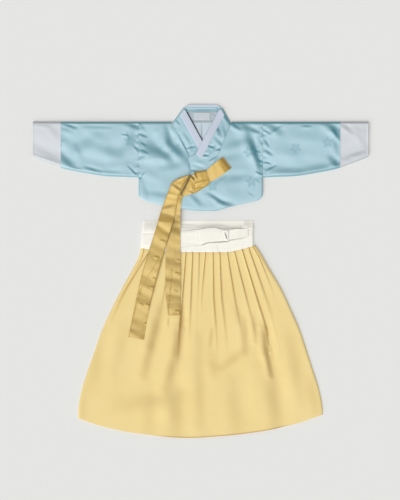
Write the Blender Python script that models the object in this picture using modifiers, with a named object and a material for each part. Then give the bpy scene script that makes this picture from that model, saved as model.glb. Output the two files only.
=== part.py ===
"""Toddler's hanbok laid flat on a table: a short jacket with knotted ribbon ties and a pleated skirt.

The garment lies on its back with its front up, +Y towards the collar and +X towards the wearer's
left. The origin is on the table under the middle of the outline. Tables and lengths are in
millimetres and become metres when a mesh is made. Every cloth is a thin wall: its outer face is
worked out as rows of points, and Solidify gives it its thickness inwards.
"""
import math
from collections import namedtuple

import bpy

MM = 0.001
GAP = 0.3

# Cloth thicknesses
CLOTH = 1.2
RIBBON = 1.0
STRIP = 1.0

# Jacket sizes
SHOULDER_Y = 321.0
ARMHOLE_X = {"right": -133.0, "left": 134.0}
UNDERARM_Y = 201.5
CENTRE_BACK_X = 2.8
CUFF_SEAM = 300.0
SLEEVE_END = 360.0
FOLD_RADIUS = 1.9
NECK_Y = 317.4
NECKLINE_BACK_Y = 320.0
COLLAR_TOP_Y = 358.0
RIGHT_COLLAR_END_Y = 215.0
LEFT_COLLAR_END_Y = 213.3

# Heights of the outer faces above the table
FRONT_HEIGHT = 5.2
UNDER_HEIGHT = 4.0
OVER_HEIGHT = 6.8
BAND_HEIGHT = 5.0
TIE_HEIGHT = BAND_HEIGHT + GAP + RIBBON
SLEEVE_SEAM_CROWN = 5.4
PLEAT_BASE = 4.3

# Skirt sizes
SEAM_Y = 41.0
PLEAT_FAN_Y = -60.0
SKIRT_ROLL = 5.0

# Waistband sizes: its seam's ends, how far its left end leans in, its back's top and its ends' roll
BAND_LEFT_X = -128.6
BAND_LEAN = 6.0
BAND_RIGHT_X = 114.4
BAND_BACK_TOP_Y = 109.0
BAND_ROLL = 4.0

Sleeve = namedtuple("Sleeve", "reach bottom_y crown")
SLEEVE = (
    Sleeve(reach=0.0, bottom_y=201.5, crown=5.0),
    Sleeve(reach=14.0, bottom_y=202.2, crown=5.4),
    Sleeve(reach=32.0, bottom_y=203.0, crown=5.9),
    Sleeve(reach=58.0, bottom_y=203.8, crown=6.2),
    Sleeve(reach=83.0, bottom_y=206.3, crown=6.1),
    Sleeve(reach=109.0, bottom_y=210.6, crown=6.2),
    Sleeve(reach=138.0, bottom_y=215.8, crown=6.0),
    Sleeve(reach=155.0, bottom_y=219.2, crown=5.6),
    Sleeve(reach=167.0, bottom_y=222.8, crown=5.4),
    Sleeve(reach=180.0, bottom_y=227.9, crown=5.5),
    Sleeve(reach=196.0, bottom_y=233.6, crown=5.6),
    Sleeve(reach=212.0, bottom_y=239.6, crown=5.4),
    Sleeve(reach=227.0, bottom_y=246.0, crown=5.0),
)

Hem = namedtuple("Hem", "x y")
JACKET_HEM = (
    Hem(x=-133.0, y=166.0), Hem(x=-130.0, y=158.5), Hem(x=-122.0, y=153.5), Hem(x=-100.0, y=147.0),
    Hem(x=-68.0, y=139.5), Hem(x=-36.0, y=133.8), Hem(x=-10.0, y=130.3), Hem(x=27.0, y=129.5),
    Hem(x=44.0, y=132.5), Hem(x=68.0, y=139.5), Hem(x=106.0, y=148.2), Hem(x=122.0, y=152.0),
    Hem(x=130.5, y=157.5), Hem(x=134.0, y=166.0),
)
SKIRT_HEM = (
    Hem(x=-263.0, y=-315.5), Hem(x=-216.0, y=-331.6), Hem(x=-139.0, y=-347.8), Hem(x=-25.0, y=-358.0),
    Hem(x=42.0, y=-354.2), Hem(x=119.0, y=-345.6), Hem(x=197.0, y=-329.5), Hem(x=263.0, y=-308.0),
)
WAIST_SEAM = (
    Hem(x=-130.0, y=50.0), Hem(x=-100.0, y=45.5), Hem(x=-50.0, y=SEAM_Y), Hem(x=50.0, y=SEAM_Y),
    Hem(x=92.0, y=48.0), Hem(x=118.0, y=56.0),
)
BAND_TOP = (
    Hem(x=-124.0, y=107.0), Hem(x=-100.0, y=105.5), Hem(x=-50.0, y=100.5), Hem(x=-10.0, y=99.0),
    Hem(x=40.0, y=99.5), Hem(x=58.0, y=96.5), Hem(x=68.0, y=90.0), Hem(x=84.0, y=90.0),
    Hem(x=93.0, y=106.0), Hem(x=115.0, y=108.5),
)

Side = namedtuple("Side", "y left right")
SKIRT_SIDES = (
    Side(y=60.0, left=-127.0, right=116.0),
    Side(y=37.0, left=-131.0, right=131.0),
    Side(y=2.7, left=-147.3, right=150.4),
    Side(y=-40.3, left=-170.9, right=175.2),
    Side(y=-83.3, left=-192.4, right=195.0),
    Side(y=-126.3, left=-211.8, right=213.9),
    Side(y=-169.3, left=-226.8, right=228.0),
    Side(y=-212.3, left=-241.9, right=241.9),
    Side(y=-255.3, left=-255.3, right=255.3),
    Side(y=-298.3, left=-262.6, right=262.6),
    Side(y=-320.0, left=-263.0, right=263.0),
)
# The collar's outline above the shoulder line, then its seams to the two fronts
COLLAR_OUTSIDE = (
    Side(y=358.0, left=-28.5, right=38.0),
    Side(y=354.6, left=-33.6, right=44.0),
    Side(y=351.2, left=-37.2, right=47.3),
    Side(y=333.1, left=-50.4, right=57.4),
    Side(y=317.4, left=-61.3, right=65.6),
    Side(y=247.8, left=-25.5, right=37.2),
    Side(y=213.0, left=-7.7, right=23.0),
)
# The neck opening's edges: the collar bands' inner edges
COLLAR_INSIDE = (
    Side(y=352.5, left=-36.6, right=43.6),
    Side(y=279.2, left=3.9, right=3.9),
    Side(y=252.0, left=19.0, right=-9.7),
    Side(y=245.4, left=22.6, right=-24.3),
    Side(y=238.8, left=26.3, right=-28.6),
    Side(y=213.0, left=40.6, right=-26.0),
)

# Level panels inside the neck opening
STRIP_BACK = (
    Side(y=352.4, left=-31.5, right=42.0),
    Side(y=354.6, left=-30.5, right=41.0),
    Side(y=COLLAR_TOP_Y, left=-25.5, right=35.0),
)
NECK_FACING = (
    Side(y=NECKLINE_BACK_Y + GAP, left=-46.0, right=52.0),
    Side(y=331.0, left=-40.0, right=46.0),
    Side(y=342.0, left=-33.0, right=39.5),
)
NECK_LABEL = (Side(y=324.0, left=-14.0, right=20.0), Side(y=341.0, left=-14.0, right=20.0))
BACK_LINING = (
    Side(y=262.0, left=-14.0, right=22.0),
    Side(y=290.0, left=-30.0, right=36.0),
    Side(y=NECKLINE_BACK_Y - GAP, left=-47.0, right=53.0),
)

Pleat = namedtuple("Pleat", "waist_x fan_x depth fade_y")
PLEATS = (
    Pleat(waist_x=-121.5, fan_x=-170.0, depth=1.1, fade_y=-60.0),
    Pleat(waist_x=-106.4, fan_x=-158.0, depth=1.3, fade_y=-100.0),
    Pleat(waist_x=-91.4, fan_x=-133.0, depth=1.0, fade_y=-50.0),
    Pleat(waist_x=-76.3, fan_x=-107.0, depth=1.3, fade_y=-90.0),
    Pleat(waist_x=-61.3, fan_x=-82.0, depth=1.0, fade_y=-60.0),
    Pleat(waist_x=-46.2, fan_x=-61.0, depth=1.1, fade_y=-80.0),
    Pleat(waist_x=-31.0, fan_x=-40.5, depth=1.7, fade_y=-180.0),
    Pleat(waist_x=-17.2, fan_x=-22.0, depth=1.5, fade_y=-130.0),
    Pleat(waist_x=-2.6, fan_x=-6.0, depth=1.1, fade_y=-70.0),
    Pleat(waist_x=11.2, fan_x=9.5, depth=1.3, fade_y=-90.0),
    Pleat(waist_x=26.0, fan_x=26.9, depth=1.5, fade_y=-150.0),
    Pleat(waist_x=40.4, fan_x=44.0, depth=1.3, fade_y=-150.0),
    Pleat(waist_x=55.7, fan_x=72.0, depth=1.3, fade_y=-120.0),
    Pleat(waist_x=70.1, fan_x=96.5, depth=1.4, fade_y=-130.0),
    Pleat(waist_x=86.0, fan_x=117.5, depth=1.8, fade_y=-220.0),
    Pleat(waist_x=100.2, fan_x=136.0, depth=1.3, fade_y=-90.0),
    Pleat(waist_x=113.0, fan_x=154.0, depth=1.1, fade_y=-50.0),
)

# A fold is a soft trough (depth below nought) or ridge along a line, fading out across its width
Fold = namedtuple("Fold", "x0 y0 x1 y1 width depth")
JACKET_FOLDS = (
    Fold(x0=-110.0, y0=285.0, x1=-95.0, y1=245.0, width=14.0, depth=-1.1),
    Fold(x0=-60.0, y0=285.0, x1=-38.0, y1=248.0, width=11.0, depth=-0.9),
    Fold(x0=-74.0, y0=230.0, x1=-34.0, y1=227.0, width=10.0, depth=-0.7),
    Fold(x0=104.0, y0=290.0, x1=128.0, y1=215.0, width=12.0, depth=-1.2),
    Fold(x0=52.0, y0=238.0, x1=100.0, y1=226.0, width=14.0, depth=-0.7),
    Fold(x0=30.0, y0=160.0, x1=92.0, y1=141.0, width=9.0, depth=-1.0),
    Fold(x0=-120.0, y0=190.0, x1=-60.0, y1=172.0, width=14.0, depth=0.6),
    Fold(x0=-166.0, y0=283.0, x1=-150.0, y1=262.0, width=13.0, depth=-1.1),
    Fold(x0=-222.0, y0=262.0, x1=-166.0, y1=255.0, width=15.0, depth=-0.9),
    Fold(x0=-272.0, y0=275.0, x1=-236.0, y1=252.0, width=15.0, depth=-1.0),
    Fold(x0=-342.0, y0=262.0, x1=-312.0, y1=250.0, width=10.0, depth=-0.7),
    Fold(x0=160.0, y0=232.0, x1=290.0, y1=226.0, width=12.0, depth=-1.0),
    Fold(x0=272.0, y0=308.0, x1=296.0, y1=292.0, width=12.0, depth=-1.0),
    Fold(x0=180.0, y0=286.0, x1=230.0, y1=278.0, width=18.0, depth=-0.8),
    Fold(x0=318.0, y0=258.0, x1=344.0, y1=266.0, width=10.0, depth=-0.7),
)
SKIRT_FOLDS = (
    Fold(x0=-86.0, y0=-80.0, x1=-121.0, y1=-300.0, width=22.0, depth=-1.3),
    Fold(x0=-42.0, y0=-110.0, x1=-66.0, y1=-290.0, width=16.0, depth=-1.1),
    Fold(x0=70.0, y0=-130.0, x1=60.0, y1=-330.0, width=22.0, depth=-1.2),
    Fold(x0=140.0, y0=-120.0, x1=164.0, y1=-335.0, width=18.0, depth=-1.4),
    Fold(x0=-170.0, y0=-150.0, x1=-205.0, y1=-325.0, width=20.0, depth=-1.0),
    Fold(x0=-10.0, y0=-170.0, x1=-14.0, y1=-350.0, width=20.0, depth=-0.9),
    Fold(x0=196.0, y0=-180.0, x1=222.0, y1=-315.0, width=16.0, depth=-1.0),
    Fold(x0=18.0, y0=-120.0, x1=24.0, y1=-340.0, width=16.0, depth=0.8),
)

Station = namedtuple("Station", "x y width rise")
LONG_TAIL = (
    Station(x=-9.0, y=199.0, width=16.0, rise=1.4),
    Station(x=-28.0, y=196.5, width=21.0, rise=1.4),
    Station(x=-46.5, y=185.5, width=27.0, rise=1.5),
    Station(x=-57.5, y=168.0, width=28.0, rise=1.5),
    Station(x=-64.0, y=148.0, width=29.0, rise=1.5),
    Station(x=-70.0, y=125.0, width=30.0, rise=1.5),
    Station(x=-77.5, y=97.0, width=31.0, rise=1.5),
    Station(x=-96.0, y=37.5, width=32.0, rise=1.4),
    Station(x=-111.0, y=-14.4, width=33.0, rise=0.6),
    Station(x=-125.7, y=-78.5, width=32.0, rise=0.0),
    Station(x=-138.4, y=-143.5, width=33.0, rise=0.0),
)
SHORT_TAIL = (
    Station(x=-9.0, y=190.0, width=14.0, rise=0.0),
    Station(x=-33.0, y=179.0, width=18.0, rise=0.0),
    Station(x=-50.0, y=160.0, width=24.0, rise=0.0),
    Station(x=-57.0, y=135.0, width=29.0, rise=0.0),
    Station(x=-58.5, y=100.0, width=31.0, rise=0.0),
    Station(x=-58.8, y=58.0, width=31.0, rise=0.0),
    Station(x=-59.2, y=-36.0, width=32.5, rise=0.0),
    Station(x=-56.5, y=-94.5, width=26.0, rise=0.0),
)
BOW_LOOP = (
    Station(x=0.5, y=192.0, width=16.0, rise=0.4),
    Station(x=14.0, y=201.0, width=23.0, rise=1.0),
    Station(x=33.0, y=215.0, width=29.0, rise=1.4),
    Station(x=56.3, y=232.7, width=30.0, rise=0.2),
)
BOW_TUCK = (
    Station(x=-18.0, y=184.0, width=7.0, rise=1.6),
    Station(x=-20.5, y=178.0, width=13.0, rise=2.8),
    Station(x=-24.5, y=169.5, width=16.0, rise=3.0),
    Station(x=-30.0, y=162.0, width=12.0, rise=1.6),
)
# Share of a strap's length that each end's turn takes
STRAP_TURN = 0.14
Strap = namedtuple("Strap", "bottom_left bottom_right top_left top_right height")
BOW_KNOT = Strap(bottom_left=(-11.5, 166.5), bottom_right=(18.0, 186.5), top_left=(-15.0, 216.5),
                 top_right=(12.5, 219.5), height=13.2)
WAIST_KNOT = Strap(bottom_left=(51.0, 66.0), bottom_right=(60.0, 66.8), top_left=(49.5, 89.5),
                   top_right=(59.0, 89.5), height=12.0)
WAIST_LOOP = (
    Station(x=52.0, y=78.0, width=17.0, rise=0.4),
    Station(x=30.0, y=78.5, width=29.0, rise=1.2),
    Station(x=8.0, y=76.0, width=30.0, rise=1.0),
    Station(x=-8.0, y=74.0, width=29.0, rise=0.2),
)

WAIST_TAIL = (
    Station(x=56.0, y=78.0, width=14.0, rise=0.0),
    Station(x=72.0, y=80.0, width=20.5, rise=0.4),
    Station(x=88.0, y=81.5, width=19.0, rise=0.4),
    Station(x=102.0, y=82.5, width=16.5, rise=0.0),
)

# A rolled edge's section: upright at the table, then a quarter round, as shares of its two sizes
Edge = namedtuple("Edge", "inset rise")
ROLLED_EDGE = (
    Edge(inset=0.0, rise=0.0), Edge(inset=0.0, rise=0.2), Edge(inset=0.1, rise=0.52),
    Edge(inset=0.42, rise=0.84), Edge(inset=1.0, rise=1.0),
)

Tie = namedtuple("Tie", "x bottom top")
WAIST_TIE = (
    Tie(x=-125.5, bottom=54.0, top=81.0),
    Tie(x=-100.0, bottom=53.5, top=82.0),
    Tie(x=-40.0, bottom=53.0, top=86.0),
    Tie(x=5.0, bottom=57.0, top=90.0),
    Tie(x=50.0, bottom=64.0, top=91.0),
    Tie(x=114.5, bottom=74.0, top=88.5),
)

Finish = namedtuple("Finish", "colour roughness")
SATIN_BLUE = Finish(colour=(0.40, 0.57, 0.64), roughness=0.42)
SATIN_WHITE = Finish(colour=(0.70, 0.74, 0.78), roughness=0.50)
LINING = Finish(colour=(0.54, 0.63, 0.70), roughness=0.60)
RIBBON_GOLD = Finish(colour=(0.79, 0.57, 0.22), roughness=0.38)
COTTON_WHITE = Finish(colour=(0.87, 0.87, 0.80), roughness=0.80)
SKIRT_YELLOW = Finish(colour=(0.90, 0.70, 0.32), roughness=0.70)


def smoothstep(low, high, value):
    """Go from 0 at low to 1 at high, level at both ends."""
    t = min(1.0, max(0.0, (value - low) / (high - low)))
    return t * t * (3.0 - 2.0 * t)


def read_table(table, key, column, at):
    """Read a column of a table at a key between its rows, along straight runs."""
    rows = sorted(table, key=lambda row: getattr(row, key))
    for low, high in zip(rows, rows[1:]):
        if at <= getattr(high, key):
            break
    t = (at - getattr(low, key)) / (getattr(high, key) - getattr(low, key))
    t = min(1.0, max(0.0, t))
    return (1.0 - t) * getattr(low, column) + t * getattr(high, column)


def curve_table(table, key, column, at):
    """Read a column of a table along a smooth curve that never overshoots its rows."""
    rows = sorted(table, key=lambda row: getattr(row, key))
    xs = [getattr(row, key) for row in rows]
    ys = [getattr(row, column) for row in rows]
    at = min(xs[-1], max(xs[0], at))
    slopes = [(ys[i + 1] - ys[i]) / (xs[i + 1] - xs[i]) for i in range(len(xs) - 1)]
    tangents = [slopes[0]]
    for before, after in zip(slopes, slopes[1:]):
        same_way = before * after > 0.0
        tangents.append(2.0 * before * after / (before + after) if same_way else 0.0)
    tangents.append(slopes[-1])
    i = 0
    while at > xs[i + 1]:
        i += 1
    span = xs[i + 1] - xs[i]
    t = (at - xs[i]) / span
    start = (1.0 + 2.0 * t) * (1.0 - t) ** 2 * ys[i] + t * (1.0 - t) ** 2 * span * tangents[i]
    end = t * t * (3.0 - 2.0 * t) * ys[i + 1] + t * t * (t - 1.0) * span * tangents[i + 1]
    return start + end


def spread(start, end, count):
    """Return count + 1 evenly spaced values from start to end."""
    return [start + (end - start) * i / count for i in range(count + 1)]


def fold_height(folds, x, y):
    """Add up the soft troughs and ridges at a point."""
    total = 0.0
    for fold in folds:
        run_x = fold.x1 - fold.x0
        run_y = fold.y1 - fold.y0
        t = ((x - fold.x0) * run_x + (y - fold.y0) * run_y) / (run_x ** 2 + run_y ** 2)
        t = min(1.0, max(0.0, t))
        across = math.hypot(x - fold.x0 - t * run_x, y - fold.y0 - t * run_y) / fold.width
        total += fold.depth * math.exp(-across * across * 2.0)
    return total


# Heights of the cloth

def ring_height(y, top_y, bottom_y, crown):
    """Height of a flattened tube's upper face between its two folded edges."""
    low = 2.0 * FOLD_RADIUS
    from_edge = min(top_y - y, y - bottom_y)
    swell = smoothstep(0.0, 24.0, from_edge)
    return low + (crown - low) * swell


def armhole_height(y):
    """Height that the fronts and the sleeves share along an armhole seam."""
    return ring_height(y, SHOULDER_Y, UNDERARM_Y, SLEEVE[0].crown)


def shoulder_ease(y):
    """Bring a front down to the height of the shoulder fold near the shoulder line."""
    return smoothstep(0.0, 24.0, SHOULDER_Y - y)


def right_front_height(x, y):
    """Outer face of the wearer's right front, which lies under the other at the centre."""
    sunk = smoothstep(-84.0, -46.0, x)
    height = FRONT_HEIGHT + (UNDER_HEIGHT - FRONT_HEIGHT) * sunk
    height += fold_height(JACKET_FOLDS, x, y) * (1.0 - 0.75 * sunk)
    near_arm = smoothstep(-116.0, ARMHOLE_X["right"], x)
    height += (armhole_height(y) - height) * near_arm * smoothstep(190.0, 210.0, y)
    low = 2.0 * FOLD_RADIUS
    return max(3.4, low + (height - low) * shoulder_ease(y))


def left_front_height(x, y):
    """Outer face of the wearer's left front, which lies on top at the centre."""
    raised = smoothstep(92.0, 48.0, x) * smoothstep(322.0, 272.0, y)
    height = FRONT_HEIGHT + (OVER_HEIGHT - FRONT_HEIGHT) * raised
    height += fold_height(JACKET_FOLDS, x, y) * (1.0 - 0.85 * raised)
    near_arm = smoothstep(117.0, ARMHOLE_X["left"], x)
    height += (armhole_height(y) - height) * near_arm * smoothstep(190.0, 210.0, y)
    low = 2.0 * FOLD_RADIUS
    return max(3.4, low + (height - low) * shoulder_ease(y))


def collar_side(y, side):
    """The collar's outer edge: its seam to a front, and above the shoulder its outline."""
    return read_table(COLLAR_OUTSIDE, "y", side, y)


def collar_inner(y, side):
    """The collar's inner edge, along the neck opening."""
    return read_table(COLLAR_INSIDE, "y", side, y)


def right_collar_height(y):
    """The wearer's right collar band keeps one height under the other band."""
    return 3.7 + (UNDER_HEIGHT - 3.7) * smoothstep(340.0, 300.0, y)


def left_collar_height(y):
    """The wearer's left collar band climbs over the other band where they cross."""
    return 3.9 + (OVER_HEIGHT - 3.9) * smoothstep(336.0, 286.0, y)


def skirt_side(y, side):
    """The skirt's outline at a height on the skirt."""
    return curve_table(SKIRT_SIDES, "y", side, y)


def skirt_wave(x, y):
    """Broad folds of the skirt below its pleats."""
    return fold_height(SKIRT_FOLDS, x, y) * smoothstep(-40.0, -150.0, y)


def pleat_depth(pleat, y):
    """A pleat's step height, fading down the skirt."""
    return pleat.depth * smoothstep(pleat.fade_y, SEAM_Y + 10.0, y) ** 0.8


def skirt_crest(x, y):
    """The height that nothing on the skirt rises past."""
    deepest = max(pleat_depth(pleat, y) for pleat in PLEATS if abs(pleat_x(pleat, y) - x) < 26.0)
    return PLEAT_BASE + deepest + max(0.0, skirt_wave(x, y))


def pleat_x(pleat, y):
    """Where a pleat's fold runs: fanned from the waist seam, then straight on to the hem."""
    if y > PLEAT_FAN_Y:
        t = (SEAM_Y + 8.0 - y) / (SEAM_Y + 8.0 - PLEAT_FAN_Y)
        return pleat.waist_x + (pleat.fan_x - pleat.waist_x) * max(0.0, t)
    side = "left" if pleat.fan_x < 0.0 else "right"
    return pleat.fan_x * skirt_side(y, side) / skirt_side(PLEAT_FAN_Y, side)


def band_height(x):
    """Outer face of the waistband, falling a little towards its two folded ends."""
    return BAND_HEIGHT - 0.5 * smoothstep(80.0, 125.0, abs(x + 5.0))


def ribbon_rest(x, y):
    """The height that a ribbon laid down the front rests on."""
    jacket_hem = curve_table(JACKET_HEM, "x", "y", x)
    band_top = curve_table(BAND_TOP, "x", "y", x)
    seam = curve_table(WAIST_SEAM, "x", "y", x)
    if y > jacket_hem - 9.0:
        on_left = smoothstep(-96.0, -52.0, x)
        return right_front_height(x, y) * (1.0 - on_left) + OVER_HEIGHT * on_left
    if y > band_top + 3.0:
        t = (jacket_hem - 9.0 - y) / (jacket_hem - band_top - 12.0)
        sag = 1.2 * math.sin(math.pi * t)
        start = ribbon_rest(x, jacket_hem - 8.9)
        return start + (TIE_HEIGHT - start) * t - sag
    if y > seam - 5.0:
        return TIE_HEIGHT
    return max(skirt_crest(x, y), skirt_crest(x, y - 6.0), skirt_crest(x, y + 6.0))


# Building blocks

def finish_material(name, finish):
    """Make a sub-part's own material."""
    material = bpy.data.materials.new(name)
    material.use_nodes = True
    shader = material.node_tree.nodes["Principled BSDF"]
    shader.inputs["Base Color"].default_value = (*finish.colour, 1.0)
    shader.inputs["Roughness"].default_value = finish.roughness
    shader.inputs["Metallic"].default_value = 0.0
    return material


def cloth(name, rows, finish, thickness=CLOTH, closed=False, flip=False):
    """Make a cloth from the rows of points of its outer face.

    Rows run from the hem upwards and columns towards +X, so that faces point up; flip turns them.
    A row may be longer than the next: only their common columns are joined. Closed joins each
    row's ends into a ring.
    """
    points = []
    starts = []
    for row in rows:
        starts.append(len(points))
        points.extend((x * MM, y * MM, z * MM) for x, y, z in row)
    faces = []
    for (low, low_row), (high, high_row) in zip(zip(starts, rows), zip(starts[1:], rows[1:])):
        count = min(len(low_row), len(high_row))
        for i in range(count if closed else count - 1):
            j = (i + 1) % count
            face = (low + i, low + j, high + j, high + i)
            faces.append(tuple(reversed(face)) if flip else face)
    mesh = bpy.data.meshes.new(name)
    mesh.from_pydata(points, [], faces)
    mesh.materials.append(finish_material(name, finish))
    mesh.shade_smooth()
    mesh.set_sharp_from_angle(angle=math.radians(50.0))
    piece = bpy.data.objects.new(name, mesh)
    PARTS.objects.link(piece)
    wall = piece.modifiers.new("wall", "SOLIDIFY")
    wall.thickness = thickness * MM
    wall.offset = -1.0
    return piece


def rolled_columns(left, right, count, roll):
    """Spread columns across a panel whose two side edges roll down to the table.

    Returns pairs of x and rise, the share of the panel's height that it has at that column.
    """
    columns = [(left + edge.inset * roll, edge.rise) for edge in ROLLED_EDGE[:-1]]
    columns.extend((x, 1.0) for x in spread(left + roll, right - roll, count))
    columns.extend((right - edge.inset * roll, edge.rise) for edge in reversed(ROLLED_EDGE[:-1]))
    return columns


def ring(x, top_y, bottom_y, crown):
    """One section of a flattened sleeve: under face on the table, two folds and a crowned top."""
    r = FOLD_RADIUS
    points = [(x, y, 0.0) for y in spread(top_y - r, bottom_y + r, 4)]
    for step in (1, 2, 3):
        turn = math.pi * step / 4.0
        points.append((x, bottom_y + r - r * math.sin(turn), r - r * math.cos(turn)))
    for y in (r, 7.0, 16.0, 28.0):
        points.append((x, bottom_y + y, top_of_sleeve(x, bottom_y + y, top_y, bottom_y, crown)))
    for y in spread(bottom_y + 40.0, top_y - 28.0, 3):
        points.append((x, y, top_of_sleeve(x, y, top_y, bottom_y, crown)))
    for y in (16.0, 7.0, r):
        points.append((x, top_y - y, top_of_sleeve(x, top_y - y, top_y, bottom_y, crown)))
    for step in (3, 2, 1):
        turn = math.pi * step / 4.0
        points.append((x, top_y - r + r * math.sin(turn), r - r * math.cos(turn)))
    return points


def top_of_sleeve(x, y, top_y, bottom_y, crown):
    """Upper face of a sleeve, with its folds fading out at the folded edges and the armhole."""
    height = ring_height(y, top_y, bottom_y, crown)
    from_edge = min(top_y - y, y - bottom_y)
    from_arm = min(abs(x - arm) for arm in ARMHOLE_X.values())
    ease = smoothstep(0.0, 20.0, from_edge) * smoothstep(0.0, 16.0, from_arm)
    return max(2.0 * FOLD_RADIUS - 0.4, height + fold_height(JACKET_FOLDS, x, y) * ease)


def strip_rows(stations, lift, count, rest, steps=4):
    """Rows of points along a ribbon, square to its centre line and lying on what is under it."""
    path = []
    for i, station in enumerate(stations[:-1]):
        before = stations[max(0, i - 1)]
        ahead = stations[i + 1]
        after = stations[min(len(stations) - 1, i + 2)]
        for k in range(steps):
            path.append(Station(*(
                catmull(before[c], station[c], ahead[c], after[c], k / steps) for c in range(4)
            )))
    path.append(stations[-1])
    rows = []
    for i, station in enumerate(path):
        back = path[max(0, i - 1)]
        on = path[min(len(path) - 1, i + 1)]
        length = math.hypot(on.x - back.x, on.y - back.y)
        side = ((on.y - back.y) / length, -(on.x - back.x) / length)
        row = []
        for across in spread(-0.5, 0.5, count):
            x = station.x + side[0] * across * station.width
            y = station.y + side[1] * across * station.width
            row.append((x, y, rest(x, y) + lift + station.rise))
        rows.append(row)
    return rows


def catmull(before, start, end, after, t):
    """A smooth curve through start and end."""
    bend = 2.0 * start + (end - before) * t
    bend += (2.0 * before - 5.0 * start + 4.0 * end - after) * t * t
    bend += (3.0 * start - before - 3.0 * end + after) * t ** 3
    return bend / 2.0


# Jacket

def body_half(side):
    """One half of the jacket's body, from the front hem over the shoulder to the back hem."""
    right = side == "right"
    arm = ARMHOLE_X[side]
    toward = 1.0 if right else -1.0
    height = right_front_height if right else left_front_height
    collar_end = RIGHT_COLLAR_END_Y if right else LEFT_COLLAR_END_Y
    split = collar_side(collar_end, "left" if right else "right")

    def overlap_edge(y):
        """The straight front edge under the collar's end."""
        if right:
            return split + 4.0 + 20.0 * smoothstep(collar_end, 170.0, y)
        return collar_inner(213.0, "right") - 20.0 * smoothstep(collar_end, 140.0, y)

    rows = []
    for level in spread(0.0, 1.0, 7):
        row = []
        for share in front_shares():
            x = arm + (split - arm) * share
            row.append(front_point(x, level, collar_end - GAP, arm, height))
        for share in spread(0.0, 1.0, 4)[1:]:
            edge = overlap_edge(collar_end + (130.0 - collar_end) * (1.0 - level))
            x = split + (edge - split) * share
            row.append(front_point(x, level, collar_end - GAP, arm, height))
        rows.append(row)
    for y in (collar_end + 6.0, 232.0, 247.8, 262.0, 276.0, 290.0, 303.0, 312.0, SHOULDER_Y - 3.2):
        row = []
        neck = collar_side(min(y, NECK_Y), "left" if right else "right") - toward * GAP
        for share in front_shares():
            x = arm + (neck - arm) * share
            row.append((x, y, height(x, y)))
        rows.append(row)
    neck = collar_side(NECK_Y, "left" if right else "right") - toward * 2.0
    r = FOLD_RADIUS
    for step in (0, 1, 2, 3, 4):
        turn = math.pi * step / 4.0
        y = SHOULDER_Y - r + r * math.sin(turn)
        z = r + r * math.cos(turn)
        rows.append([(arm + (neck - arm) * share, y, z) for share in front_shares()])
    centre = CENTRE_BACK_X - toward * GAP / 2.0
    for level in spread(0.0, 1.0, 6):
        row = []
        across = [arm + (neck - arm) * share for share in front_shares()]
        for x in across + spread(neck, centre, 4)[1:]:
            hem = curve_table(JACKET_HEM, "x", "y", x) + 0.6
            top = NECKLINE_BACK_Y - GAP / 2.0 - 2.5 if level == 0.0 else SHOULDER_Y - 6.0
            row.append((x, top + (hem - top) * level, 0.0))
        rows.append(row)
    return cloth(f"jacket_body_{side}", rows, SATIN_BLUE, flip=not right)


def front_shares():
    """Shares of a front's width for its columns, closer at the armhole."""
    return (0.0, 0.004, 0.03, 0.085, 0.18, 0.30, 0.43, 0.57, 0.71, 0.86, 1.0)


def front_point(x, level, top_y, arm, height):
    """A point of a front below the collar's end, its side edge rolled down to the back."""
    hem = curve_table(JACKET_HEM, "x", "y", x)
    y = hem + (top_y - hem) * level
    from_side = abs(x - arm)
    roll = min(1.0, from_side / 6.0)
    rise = math.sqrt(1.0 - (1.0 - roll) ** 2)
    open_side = smoothstep(UNDERARM_Y + 10.0, UNDERARM_Y - 8.0, y)
    bottom = CLOTH + 3.0 * GAP
    full = height(x, y)
    z = full + (bottom + (full - bottom) * rise - full) * open_side
    return (x, y, z)


def sleeve(side):
    """A sleeve from the armhole to the cuff seam, flattened and folded along its top."""
    arm = ARMHOLE_X[side]
    out = -1.0 if side == "right" else 1.0
    full = CUFF_SEAM - abs(arm) - GAP
    rows = []
    for row in SLEEVE:
        if row.reach < full:
            rows.append(ring(arm + out * (row.reach + GAP), SHOULDER_Y, row.bottom_y, row.crown))
    end_y = curve_table(SLEEVE, "reach", "bottom_y", full)
    rows.append(ring(arm + out * full, SHOULDER_Y, end_y, SLEEVE_SEAM_CROWN))
    return cloth(f"sleeve_{side}", rows, SATIN_BLUE, closed=True, flip=side == "left")


def cuff(side):
    """The white cuff that ends a sleeve."""
    arm = ARMHOLE_X[side]
    out = -1.0 if side == "right" else 1.0
    rows = []
    for x in (CUFF_SEAM + GAP, 313.0, 329.0, 345.0, SLEEVE_END):
        reach = x - abs(arm)
        bottom = curve_table(SLEEVE, "reach", "bottom_y", reach)
        rows.append(ring(out * x, SHOULDER_Y, bottom, curve_table(SLEEVE, "reach", "crown", reach)))
    return cloth(f"cuff_{side}", rows, SATIN_WHITE, closed=True, flip=side == "left")


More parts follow.
